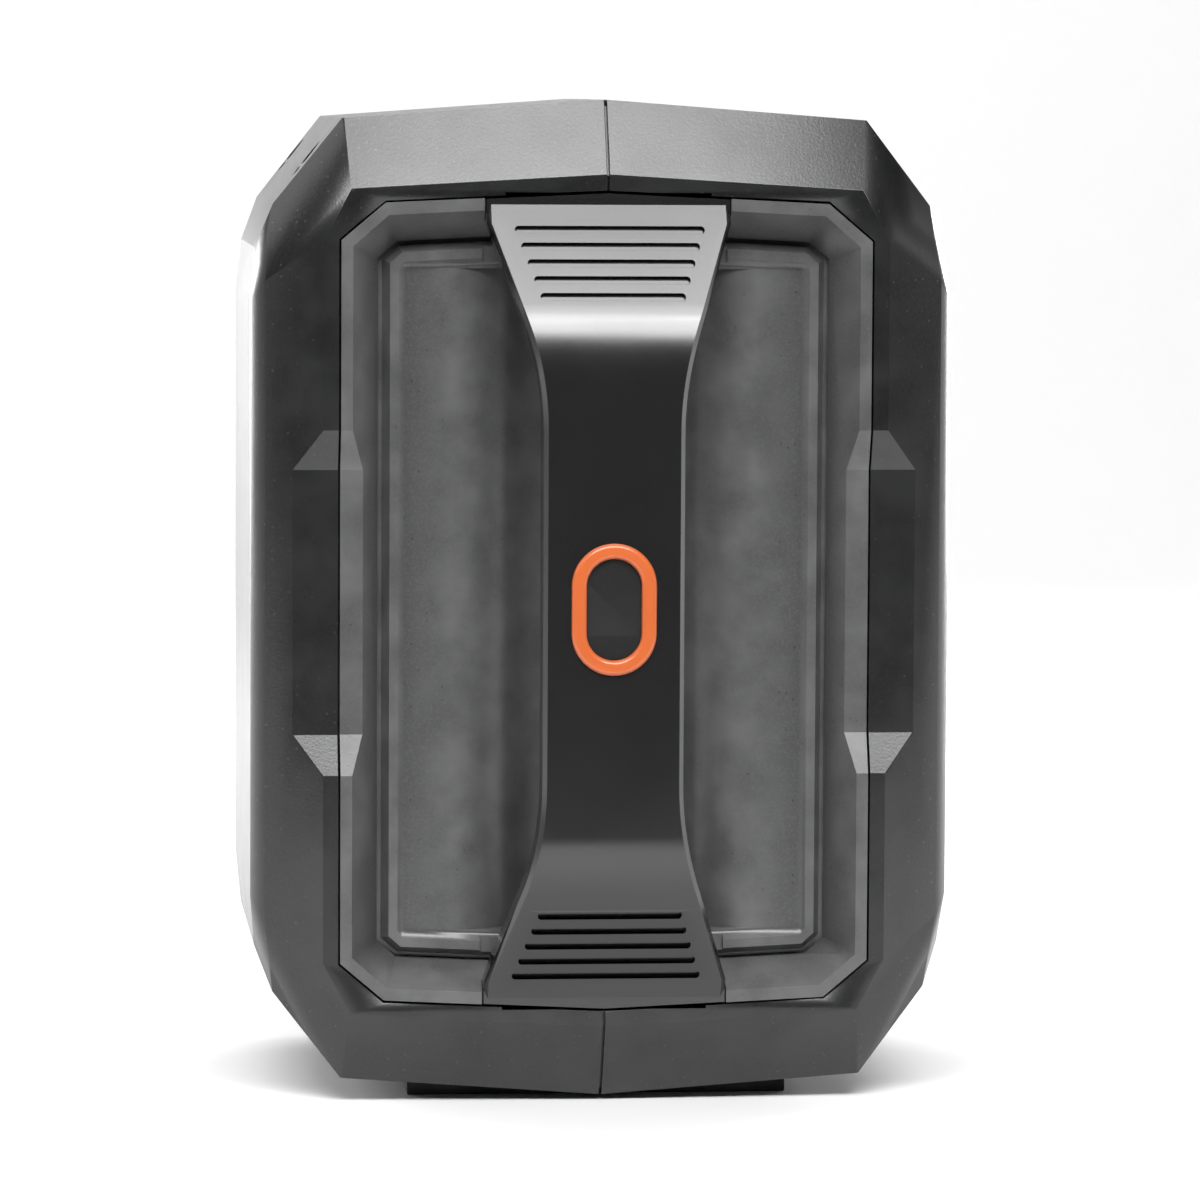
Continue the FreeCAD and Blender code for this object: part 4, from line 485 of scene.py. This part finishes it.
class Finishes(Enum):
    """Every finish on the pack. Each value is built once, when it is first asked for."""

    # The rub values lighten rounded edges: partly rubbing, partly a painted edge highlight.
    CASING = Moulded("casing_charcoal", (0.0045, 0.0046, 0.0049), 0.30, grain=1500.0,
                     fleck=(0.045, 0.045, 0.045), fleck_share=0.35, rub_and_highlight=3.0, grain_depth=5e-5,
                     specular=0.75, contrast=2.4)
    TRAY = Moulded("tray_grey", (0.062, 0.0623, 0.0632), 0.33, grain=1700.0,
                   fleck=(0.025, 0.025, 0.025), fleck_share=0.22, rub_and_highlight=1.9, grain_depth=3.5e-5,
                   specular=0.7, contrast=1.3)
    PANEL = Moulded("panel_black", (0.010, 0.0103, 0.011), 0.36, rub_and_highlight=2.0, grain_depth=2e-5)
    INLAY = Moulded("inlay_charcoal", (0.008, 0.008, 0.0083), 0.45, rub_and_highlight=1.5, grain=3200.0)
    POST = Moulded("post_black", (0.02, 0.02, 0.021), 0.5)
    RELAY = Moulded("relay_case", (0.05, 0.05, 0.06), 0.4, grain_depth=1e-5)
    SOCKET = Moulded("socket_blue", (0.02, 0.07, 0.30), 0.42, rub_and_highlight=1.4, grain_depth=1e-5)
    BATTERY = Moulded("battery_case", (0.055, 0.06, 0.07), 0.38, grain_depth=2e-5, coat=0.2)
    HANDLE = Satin("handle_black", (0.0030, 0.0030, 0.0033), 0.21, 1.0, 0.20)
    ACCENT = Satin("accent_orange", (0.66, 0.140, 0.035), 0.34, 0.5, 0.14)
    KEY = Satin("key_grey", (0.06, 0.062, 0.066), 0.45, 0.1, 0.3)
    MARK = Satin("mark_white", (0.72, 0.73, 0.74), 0.4, 0.2, 0.2)
    SLEEVE = Satin("capacitor_sleeve", (0.02, 0.035, 0.12), 0.3, 0.4, 0.1)
    CABLE = Satin("cable_black", (0.012, 0.012, 0.012), 0.5, 0.1, 0.3)
    RED_CABLE = Satin("cable_red", (0.35, 0.012, 0.012), 0.45, 0.1, 0.3)
    RUBBER = Rubber("foot_rubber", (0.018, 0.018, 0.019))
    GRIP = Rubber("grip_rubber", (0.02, 0.02, 0.021))
    FOAM = Rubber("cushion_foam", (0.06, 0.06, 0.062), (0.12, 0.12, 0.12))
    STEEL = Metal("zinc_steel", (0.62, 0.63, 0.66), 0.28)
    BLACK_STEEL = Metal("black_steel", (0.06, 0.06, 0.065), 0.42)
    NICKEL = Metal("port_nickel", (0.68, 0.67, 0.65), 0.22, 6.0)
    BRASS = Metal("contact_brass", (0.78, 0.62, 0.34), 0.24)
    FINS = Metal("fin_aluminium", (0.72, 0.73, 0.75), 0.34, 12.0)
    MIRROR = Metal("reflector_bright", (0.88, 0.88, 0.9), 0.1)
    CLEAR = Clear("lens_clear", (0.93, 0.95, 0.97), 0.03, 1.0, 120.0)
    SMOKED = Clear("lens_smoked", (0.16, 0.17, 0.19), 0.03, 0.9)
    BOARD = Board("board_green")
    PHOSPHOR = Satin("chip_phosphor", (0.85, 0.62, 0.08), 0.4, 0.6, 0.1)
    SCREEN = Satin("screen_black", (0.006, 0.008, 0.010), 0.2, 0.8, 0.05)
    SEGMENT = Lit("display_segment", (0.25, 0.75, 0.95), 0.9)
    SEGMENT_WARM = Lit("display_level", (0.35, 0.85, 0.35), 0.7)

    def material(self) -> bpy.types.Material:
        """Returns this finish's material, built the first time."""
        found = bpy.data.materials.get(self.value.name)
        return found or self.value.build()


# ------------------------------------------------------------------------------------ mesh tools


def dress(obj: bpy.types.Object, finish: Finishes) -> bpy.types.Object:
    """Gives a piece one finish all over.

    Args:
        obj: The piece.
        finish: Its finish.

    Returns:
        The same piece.
    """
    if obj.data.materials:
        for index in range(len(obj.data.materials)):
            obj.data.materials[index] = finish.material()
    else:
        obj.data.materials.append(finish.material())
    return obj


def make(name: str, mesh_bm: bmesh.types.BMesh, finish: Finishes, body: str,
         sharp: float = 35.0) -> bpy.types.Object:
    """Turns a bmesh into a finished piece that rides on a body.

    Args:
        name: The piece's name.
        mesh_bm: Its mesh, which is freed.
        finish: Its finish.
        body: The body that it rides on.
        sharp: Angle over which an edge stays sharp, in degrees.

    Returns:
        The new piece.
    """
    mesh = bpy.data.meshes.new(name)
    mesh_bm.to_mesh(mesh)
    mesh_bm.free()
    mesh.shade_smooth()
    mesh.set_sharp_from_angle(angle=math.radians(sharp))
    obj = bpy.data.objects.new(name, mesh)
    bpy.context.scene.collection.objects.link(obj)
    weighted = obj.modifiers.new("weighted", "WEIGHTED_NORMAL")
    weighted.keep_sharp = True
    weighted.weight = 80
    dress(obj, finish)
    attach(obj, body)
    log.info("%s: %d faces on %s", name, len(mesh.polygons), body)
    return obj


def node_copy(node: str) -> bmesh.types.BMesh:
    """Copies a CAD node's mesh, merged and with its flat faces joined up.

    Args:
        node: The CAD node.

    Returns:
        The cleaned mesh.
    """
    bm = bmesh.new()
    bm.from_mesh(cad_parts[node].data)
    bmesh.ops.remove_doubles(bm, verts=bm.verts, dist=2e-6)
    bmesh.ops.dissolve_limit(bm, angle_limit=math.radians(0.4), use_dissolve_boundaries=False,
                             verts=bm.verts, edges=bm.edges, delimit=set())
    return bm


def round_edges(bm: bmesh.types.BMesh, radius: float, segments: int = 2, least: float = 14.0,
                keep: Callable[[bmesh.types.BMEdge], bool] | None = None) -> None:
    """Rounds a mesh's sharp edges and marks them for a lighter edge colour, partly rubbing and partly a
    painted edge highlight.

    Args:
        bm: The mesh.
        radius: Radius of the rounding, in metres.
        segments: Faces across it.
        least: Smallest angle that is rounded, in degrees.
        keep: Says which of the sharp edges to round; all of them without it.
    """
    # This layer marks the edges that are painted lighter, for rubbing and a painted edge highlight.
    rub_and_highlight = bm.verts.layers.float.new(EDGE)
    short = radius * 3
    chosen = []
    for edge in bm.edges:
        if not edge.is_manifold or edge.calc_face_angle(0.0) < math.radians(least):
            continue
        if edge.calc_length() < short or (keep and not keep(edge)):
            continue
        ends = [other for vert in edge.verts for other in vert.link_edges if other is not edge]
        if any(other.calc_length() < radius * 1.6 for other in ends):
            continue
        chosen.append(edge)
    result = bmesh.ops.bevel(bm, geom=chosen, offset=radius, offset_type="OFFSET", segments=segments,
                             profile=0.5, affect="EDGES", clamp_overlap=True, material=-1)
    for face in result["faces"]:
        for vert in face.verts:
            vert[rub_and_highlight] = 1.0


def rounded(node: str, radius: float, finish: Finishes, body: str = "root", segments: int = 2,
            keep: Callable[[bmesh.types.BMEdge], bool] | None = None) -> bpy.types.Object:
    """Makes a piece from a CAD node with its edges rounded, and shows it instead of the node.

    Args:
        node: The CAD node.
        radius: Radius of the rounding, in metres.
        finish: The piece's finish.
        body: The body that it rides on.
        segments: Faces across the rounding.
        keep: Says which of the sharp edges to round.

    Returns:
        The new piece.
    """
    bm = node_copy(node)
    round_edges(bm, radius, segments, keep=keep)
    piece = make(f"{node}_moulding", bm, finish, body)
    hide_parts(node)
    return piece


def new_verts(result: dict) -> list[bmesh.types.BMVert]:
    """Picks the vertices out of an extrusion's result.

    Args:
        result: What the extrude operator gave back.

    Returns:
        Its new vertices.
    """
    return [item for item in result["geom"] if isinstance(item, bmesh.types.BMVert)]


def raised(name: str, outlines: list[Outline], face: float, thick: float, finish: Finishes,
           body: str) -> bpy.types.Object:
    """Makes flat marks that stand on a face which looks right.

    Args:
        name: The piece's name.
        outlines: Each mark's corners, as (y, z).
        face: Where the marks start, along X.
        thick: Their thickness.
        finish: Their finish.
        body: The body that they ride on.

    Returns:
        The new piece.
    """
    bm = bmesh.new()
    for outline in outlines:
        flat = bm.faces.new([bm.verts.new((face, y, z)) for y, z in outline])
        grown = bmesh.ops.extrude_face_region(bm, geom=[flat])
        bmesh.ops.translate(bm, verts=new_verts(grown), vec=(thick, 0.0, 0.0))
    bmesh.ops.recalc_face_normals(bm, faces=bm.faces)
    return make(name, bm, finish, body)


def bar(y: float, z: float, half_y: float, half_z: float) -> Outline:
    """Gives an upright rectangle's corners.

    Args:
        y: Its middle, along Y.
        z: Its middle, along Z.
        half_y: Half its width.
        half_z: Half its height.

    Returns:
        Its corners, in turn.
    """
    low_y, high_y, low_z, high_z = y - half_y, y + half_y, z - half_z, z + half_z
    return [(low_y, low_z), (high_y, low_z), (high_y, high_z), (low_y, high_z)]


def arc(y: float, z: float, inner: float, outer: float, first: float, last: float) -> Outline:
    """Gives the corners of a bent strip.

    Args:
        y: The bend's middle, along Y.
        z: The bend's middle, along Z.
        inner: Inner radius.
        outer: Outer radius.
        first: Angle where it starts, in degrees from the top.
        last: Angle where it ends.

    Returns:
        Its corners, outside first.
    """
    turns = [math.radians(first + (last - first) * step / ARC_STEPS) for step in range(ARC_STEPS + 1)]
    outside = [(y + outer * math.sin(turn), z + outer * math.cos(turn)) for turn in turns]
    inside = [(y + inner * math.sin(turn), z + inner * math.cos(turn)) for turn in reversed(turns)]
    return outside + inside


def repaint(finish: Finishes, *nodes: str) -> None:
    """Gives CAD nodes that keep their own mesh a finish."""
    for node in nodes:
        dress(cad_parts[node], finish)
        log.info("%s: %s", node, finish.name.lower())


def centre(node: str) -> Vector:
    """Returns the middle of a CAD node's box."""
    low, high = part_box(node)
    return (low + high) / 2


# ------------------------------------------------------------------------------------ assemblies


@dataclass
class Casing:
    """The two halves of the faceted clamshell, with their screws.

    Attributes:
        edge: Radius of the facet edges.
        shells: The two halves.
    """

    edge: float = 0.55 * MM
    shells: tuple[str, str] = ("left_shell", "right_shell")

    def build(self) -> None:
        """Builds both halves and dresses the screws in their wells."""
        for shell in self.shells:
            rounded(shell, self.edge, Finishes.CASING)
        repaint(Finishes.BLACK_STEEL, "shell_screws")


@dataclass
class Tray:
    """The light grey tray set into the casing behind the handle.

    Attributes:
        edge: Radius of its edges.
    """

    edge: float = 0.45 * MM

    def build(self) -> None:
        """Builds the tray."""
        rounded("handle_tray", self.edge, Finishes.TRAY)


@dataclass
class Handle:
    """The bridge handle with its grip, accent ring and inlay.

    Attributes:
        edge: Radius of the beam's edges.
        small: Radius on the small pieces.
    """

    edge: float = 0.35 * MM
    small: float = 0.4 * MM

    def build(self) -> None:
        """Builds the beam, grip, ring and inlay and dresses the screws."""
        rounded("carry_handle", self.edge, Finishes.HANDLE)
        rounded("handle_grip", self.small, Finishes.GRIP, segments=3)
        rounded("handle_pad", 0.2 * MM, Finishes.INLAY)
        repaint(Finishes.ACCENT, "handle_ring")
        repaint(Finishes.STEEL, "handle_screws")


@dataclass
class Feet:
    """The ribbed foot under the pack and the four pads on its back.

    Attributes:
        edge: Radius of their edges.
    """

    edge: float = 0.4 * MM

    def build(self) -> None:
        """Builds the foot and the pads."""
        rounded("base_foot", self.edge, Finishes.RUBBER)
        rounded("rest_pads", self.edge, Finishes.RUBBER)


@dataclass(frozen=True)
class DisplayFace:
    """Layout of the lit marks on the display: a level gauge in a case, and two figures.

    Attributes:
        sunk: How far the marks start behind the display's face.
        margin: Display's edge to the first cell.
        cell: Pitch of the gauge's cells.
        cells: Number of cells.
        cell_half: Half width and half height of a lit cell.
        case_gap: Cells to the middle of the case's line, sideways.
        case_half: Half thickness of the case's line.
        case_up: Display's middle to the case's upper and lower lines.
        case_side: Half height of the case's side lines.
        tip_gap: Case's line to the middle of its tip.
        tip_half: Half width and half height of the tip.
        figure_places: Display's far edge to the middle of each figure.
        stroke: Half thickness of a figure's stroke.
        flat_half: Half length of its level strokes.
        flat_up: Display's middle to its outer level strokes.
        side: Figure's middle to its upright strokes.
        side_half: Half length of its upright strokes.
        side_up: Display's middle to the middle of an upright stroke.
    """

    sunk: float = 0.05 * MM
    margin: float = 4.0 * MM
    cell: float = 5.2 * MM
    cells: int = 4
    cell_half: tuple[float, float] = (2.0 * MM, 4.2 * MM)
    case_gap: float = 1.1 * MM
    case_half: float = 0.35 * MM
    case_up: float = 6.1 * MM
    case_side: float = 5.6 * MM
    tip_gap: float = 1.0 * MM
    tip_half: tuple[float, float] = (0.5 * MM, 2.0 * MM)
    figure_places: tuple[float, float] = (13.5 * MM, 5.5 * MM)
    stroke: float = 0.5 * MM
    flat_half: float = 1.9 * MM
    flat_up: float = 5.6 * MM
    side: float = 2.6 * MM
    side_half: float = 2.1 * MM
    side_up: float = 2.8 * MM

    def gauge(self, left: float, z: float) -> list[Outline]:
        """Gives the lit cells' outlines.

        Args:
            left: Where the first cell starts, along Y.
            z: The display's middle height.

        Returns:
            One outline for each cell.
        """
        return [bar(left + self.cell * (step + 0.5), z, *self.cell_half) for step in range(self.cells)]

    def case(self, left: float, z: float) -> list[Outline]:
        """Gives the outlines of the case round the gauge.

        Args:
            left: Where the first cell starts, along Y.
            z: The display's middle height.

        Returns:
            The case's four lines and its tip.
        """
        half = self.cells * self.cell / 2 + self.case_gap
        middle = left + self.cells * self.cell / 2
        lines = [bar(middle, z + side * self.case_up, half, self.case_half) for side in (-1, 1)]
        lines += [bar(middle + side * half, z, self.case_half, self.case_side) for side in (-1, 1)]
        return [*lines, bar(middle + half + self.tip_gap, z, *self.tip_half)]

    def figure(self, y: float, z: float) -> list[Outline]:
        """Gives the seven strokes of a figure.

        Args:
            y: The figure's middle, along Y.
            z: The display's middle height.

        Returns:
            The three level strokes, then the four upright ones.
        """
        level = [bar(y, z + rise * self.flat_up, self.flat_half, self.stroke) for rise in (-1, 0, 1)]
        upright = [bar(y + side * self.side, z + rise * self.side_up, self.stroke, self.side_half)
                   for side in (-1, 1) for rise in (-1, 1)]
        return level + upright


@dataclass
class ControlPanel:
    """The control panel on the right side, with its lamp, display and keys.

    Attributes:
        edge: Radius of the panel's edges.
        key_edge: Radius on the keys.
        mark: Thickness of the marks on the keys.
        segment: Thickness of the display's lit segments.
        dome: Radius of the lamp's light domes.
        face: Layout of the display's lit marks.
        keys: Each key's body and finish.
    """

    edge: float = 0.35 * MM
    key_edge: float = 0.3 * MM
    mark: float = 0.32 * MM
    segment: float = 0.25 * MM
    dome: float = 1.25 * MM
    face: DisplayFace = DisplayFace()
    keys: dict[str, tuple[str, Finishes]] = field(default_factory=lambda: {
        "power_button": ("power_key", Finishes.ACCENT),
        "boost_button": ("boost_key", Finishes.KEY),
        "lamp_button": ("lamp_key", Finishes.KEY),
    })

    def build(self) -> None:
        """Builds the panel, its keys and marks, and dresses the lamp and display."""
        rounded("control_panel", self.edge, Finishes.PANEL)
        repaint(Finishes.BLACK_STEEL, "panel_screws")
        repaint(Finishes.CLEAR, "lamp_lens")
        repaint(Finishes.SMOKED, "display_lens")
        repaint(Finishes.MIRROR, "lamp_reflector")
        repaint(Finishes.SCREEN, "display_module")
        repaint(Finishes.BOARD, "lamp_board", "control_board")
        repaint(Finishes.POST, "button_switches", "board_posts")
        repaint(Finishes.STEEL, "board_screws")
        for node, (body, finish) in self.keys.items():
            rounded(node, self.key_edge, finish, body)
        self.power_mark()
        self.boost_mark()
        self.lamp_mark()
        self.display()
        self.lamps()

    def on_key(self, node: str, outlines: Callable[[float, float], list[Outline]]) -> None:
        """Stands a mark in a key's dished face.

        Args:
            node: The key.
            outlines: Gives the mark's outlines about a point.
        """
        middle = centre(node)
        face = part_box(node)[1][0] - self.mark
        raised(f"{node}_mark", outlines(middle.y, middle.z), face, self.mark, Finishes.MARK,
               self.keys[node][0])

    def power_mark(self) -> None:
        """Adds the broken ring with a bar on the power key."""
        self.on_key("power_button", lambda y, z: [
            arc(y, z, 3.0 * MM, 3.8 * MM, 38.0, 322.0), bar(y, z + 2.7 * MM, 0.4 * MM, 1.9 * MM)])

    def boost_mark(self) -> None:
        """Adds the zigzag on the boost key."""
        zigzag = ((0.9, 3.7), (-2.2, -0.5), (-0.3, -0.5), (-0.9, -3.7), (2.2, 0.6), (0.3, 0.6))
        self.on_key("boost_button", lambda y, z: [[(y + a * MM, z + b * MM) for a, b in zigzag]])

    def lamp_mark(self) -> None:
        """Adds the half disc with three rays on the lamp key."""
        def outlines(y: float, z: float) -> list[Outline]:
            """Gives the mark's outlines about (y, z)."""
            rays = [bar(y + 1.9 * MM, z + lift * MM, 1.3 * MM, 0.3 * MM) for lift in (-1.7, 0.0, 1.7)]
            return [arc(y - 0.4 * MM, z, 0.9 * MM, 2.6 * MM, 180.0, 360.0), *rays]

        self.on_key("lamp_button", outlines)

    def display(self) -> None:
        """Adds the lit level gauge and the two figures behind the smoked lens."""
        low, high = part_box("display_module")
        z = (low[2] + high[2]) / 2
        face = high[0] - self.face.sunk
        left = low[1] + self.face.margin
        raised("display_gauge", self.face.gauge(left, z), face, self.segment, Finishes.SEGMENT_WARM,
               "root")
        lit = self.face.case(left, z)
        for from_edge in self.face.figure_places:
            lit += self.face.figure(high[1] - from_edge, z)
        raised("display_figures", lit, face, self.segment, Finishes.SEGMENT, "root")

    def lamps(self) -> None:
        """Adds the five light domes on their chips."""
        low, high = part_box("lamp_board")
        middle = centre("lamp_board")
        bm = bmesh.new()
        for step in range(-2, 3):
            place = Matrix.Translation((high[0], middle.y + step * 0.1976 * (high[1] - low[1]), middle.z))
            bmesh.ops.create_uvsphere(bm, u_segments=20, v_segments=10, radius=self.dome, matrix=place)
        make("lamp_domes", bm, Finishes.PHOSPHOR, "root")


@dataclass
class Bays:
    """The port bay and the jump socket bay with their hinged covers.

    Attributes:
        edge: Radius of the edges.
    """

    edge: float = 0.3 * MM

    def build(self) -> None:
        """Builds the covers and dresses what lies behind them."""
        rounded("port_cover", self.edge, Finishes.PANEL, "port_flap")
        rounded("jump_cover", self.edge, Finishes.PANEL, "jump_flap")
        repaint(Finishes.PANEL, "port_bezel", "jump_bezel")
        repaint(Finishes.STEEL, "port_cover_pin", "jump_cover_pin")
        repaint(Finishes.NICKEL, "usb_a_ports", "usb_c_port")
        repaint(Finishes.POST, "charge_jack")
        repaint(Finishes.BOARD, "port_board")
        repaint(Finishes.SOCKET, "jump_socket")
        repaint(Finishes.BRASS, "jump_contacts")


@dataclass
class PowerParts:
    """Battery and power electronics inside the casing."""

    dressing: dict[Finishes, tuple[str, ...]] = field(default_factory=lambda: {
        Finishes.BATTERY: ("battery_case", "battery_lid"),
        Finishes.BRASS: ("battery_terminals", "board_spacers", "main_fuse"),
        Finishes.FOAM: ("battery_foam",),
        Finishes.BLACK_STEEL: ("battery_clamp",),
        Finishes.BOARD: ("power_board",),
        Finishes.RELAY: ("relay",),
        Finishes.FINS: ("heat_sink",),
        Finishes.SLEEVE: ("capacitors",),
        Finishes.POST: ("buzzer", "fuse_holder"),
        Finishes.CABLE: ("negative_lead",),
        Finishes.RED_CABLE: ("positive_lead",),
    })

    def build(self) -> None:
        """Dresses every inner piece."""
        for finish, nodes in self.dressing.items():
            repaint(finish, *nodes)


# ------------------------------------------------------------------------------------ studio


@dataclass
class Studio:
    """Pale floor, soft boxes and the camera.

    Attributes:
        distance: Camera to the middle of the pack, in metres.
        azimuth: Camera's turn about the pack, in degrees, negative to the left.
        elevation: Camera's height angle, in degrees.
        frame_width: Width of the view at the pack, in metres.
        roll: Turn of the picture, in degrees.
        off_centre: How far the picture's middle lies right of and above the pack's, in metres.
        floor_front: How far the floor reaches in front of the pack, in metres.
    """

    distance: float = 1.6
    azimuth: float = -5.53
    elevation: float = 4.69
    frame_width: float = 0.3082
    roll: float = 0.31
    off_centre: tuple[float, float] = (0.0036, -0.0029)
    floor_front: float = 0.40

    def floor(self) -> None:
        """Makes the pale floor that curves up into a backdrop."""
        bm = bmesh.new()
        span = 2.6
        start = bm.verts.new((-span, -self.floor_front, 0.0))
        end = bm.verts.new((span, -self.floor_front, 0.0))
        edge = bm.edges.new((start, end))
        out = bmesh.ops.extrude_edge_only(bm, edges=[edge])
        verts = new_verts(out)
        bmesh.ops.translate(bm, verts=verts, vec=(0.0, 1.6 + self.floor_front, 0.0))
        edges = [e for e in out["geom"] if isinstance(e, bmesh.types.BMEdge) and set(e.verts) == set(verts)]
        bmesh.ops.spin(bm, geom=edges + verts, cent=(0.0, 1.6, 0.8), axis=(1.0, 0.0, 0.0),
                       angle=math.pi / 2, steps=24)
        top = [v for v in bm.verts if abs(v.co.z - 0.8) < 1e-4]
        rise = bmesh.ops.extrude_edge_only(bm, edges=[e for e in bm.edges if set(e.verts) <= set(top)])
        bmesh.ops.translate(bm, verts=new_verts(rise), vec=(0.0, 0.0, 3.0))
        bmesh.ops.recalc_face_normals(bm, faces=bm.faces)
        mesh = bpy.data.meshes.new("studio_floor")
        bm.to_mesh(mesh)
        bm.free()
        mesh.shade_smooth()
        floor = bpy.data.objects.new("studio_floor", mesh)
        bpy.context.scene.collection.objects.link(floor)
        graph = Graph("studio_paper")
        tone = graph.mix(graph.noise(1.5), (0.86, 0.86, 0.86), (0.88, 0.88, 0.88))
        graph.link(tone, graph.shader.inputs["Base Color"])
        graph.set(Roughness=0.9, Specular_IOR_Level=0.2)
        mesh.materials.append(graph.material)

    def soft_box(self, name: str, place: Vector, aim: Vector, size: tuple[float, float],
                 power: float) -> None:
        """Hangs one soft box.

        Args:
            name: The light's name.
            place: Where it hangs.
            aim: What it points at.
            size: Its width and height.
            power: Its power in watts.
        """
        data = bpy.data.lights.new(name, "AREA")
        data.shape = "RECTANGLE"
        data.size, data.size_y = size
        data.energy = power
        lamp = bpy.data.objects.new(name, data)
        lamp.location = place
        lamp.rotation_euler = (aim - place).to_track_quat("-Z", "Y").to_euler()
        lamp.visible_camera = False
        bpy.context.scene.collection.objects.link(lamp)

    def lights(self, aim: Vector) -> None:
        """Hangs the soft boxes above, beside and behind the pack.

        Args:
            aim: The middle of the pack.
        """
        self.soft_box("front_high_box", Vector((0.0, -0.75, 1.16)), aim, (1.2, 0.35), 10.5)
        self.soft_box("front_box", Vector((0.0, -0.98, 0.98)), aim, (1.2, 0.35), 14.0)
        self.soft_box("left_box", Vector((-1.1, -0.05, 0.75)), aim, (0.8, 0.6), 3.0)
        self.soft_box("left_edge_box", Vector((-0.8, 0.9, 0.22)), aim, (0.6, 0.3), 11.0)
        self.soft_box("right_edge_box", Vector((0.8, 0.9, 0.22)), aim, (0.6, 0.3), 10.0)
        self.soft_box("left_low_box", Vector((-1.2, 0.1, 0.25)), aim, (0.8, 0.5), 0.6)
        self.soft_box("right_low_box", Vector((1.2, 0.1, 0.25)), aim, (0.8, 0.5), 1.7)
        self.soft_box("backdrop_box", Vector((0.0, 0.6, 1.8)), Vector((0.0, 2.0, 0.3)), (2.4, 0.6), 42.0)
        world = bpy.data.worlds.new("studio_air")
        world.use_nodes = True
        nodes, links = world.node_tree.nodes, world.node_tree.links
        air = nodes["Background"]
        air.inputs["Color"].default_value = (1.0, 1.0, 1.0, 1.0)
        rays = nodes.new("ShaderNodeLightPath")
        level = nodes.new("ShaderNodeMapRange")
        level.inputs["To Min"].default_value = 0.02
        level.inputs["To Max"].default_value = 1.0
        links.new(rays.outputs["Is Camera Ray"], level.inputs["Value"])
        links.new(level.outputs["Result"], air.inputs["Strength"])
        bpy.context.scene.world = world

    def camera(self, aim: Vector) -> None:
        """Places the camera.

        Args:
            aim: What it looks at.
        """
        data = bpy.data.cameras.new("camera")
        data.sensor_width = 36.0
        data.lens = data.sensor_width * self.distance / self.frame_width
        turn = math.radians(self.azimuth)
        rise = math.radians(self.elevation)
        away = Vector((math.sin(turn) * math.cos(rise), -math.cos(turn) * math.cos(rise), math.sin(rise)))
        camera = bpy.data.objects.new("camera", data)
        look = (-away).to_track_quat("-Z", "Y").to_matrix().to_4x4()
        across, up = self.off_centre
        camera.location = aim + away * self.distance + look @ Vector((across, up, 0.0))
        camera.rotation_euler = (look @ Matrix.Rotation(math.radians(self.roll), 4, "Z")).to_euler()
        bpy.context.scene.collection.objects.link(camera)
        bpy.context.scene.camera = camera

    def build(self) -> None:
        """Sets up the whole studio."""
        low, high = CAD_BOX
        aim = Vector((0.0, 0.0, (low[2] + high[2]) / 2))
        self.floor()
        self.lights(aim)
        self.camera(aim)
        bpy.context.scene.view_settings.view_transform = "Standard"


def main() -> None:
    """Builds the pack and its studio, and reports each piece."""
    logging.basicConfig(level=logging.INFO, format="%(message)s")
    for assembly in (Studio(), Casing(), Tray(), Handle(), Feet(), ControlPanel(), Bays(), PowerParts()):
        log.info("-- %s", type(assembly).__name__)
        assembly.build()


if __name__ == "__main__":
    main()
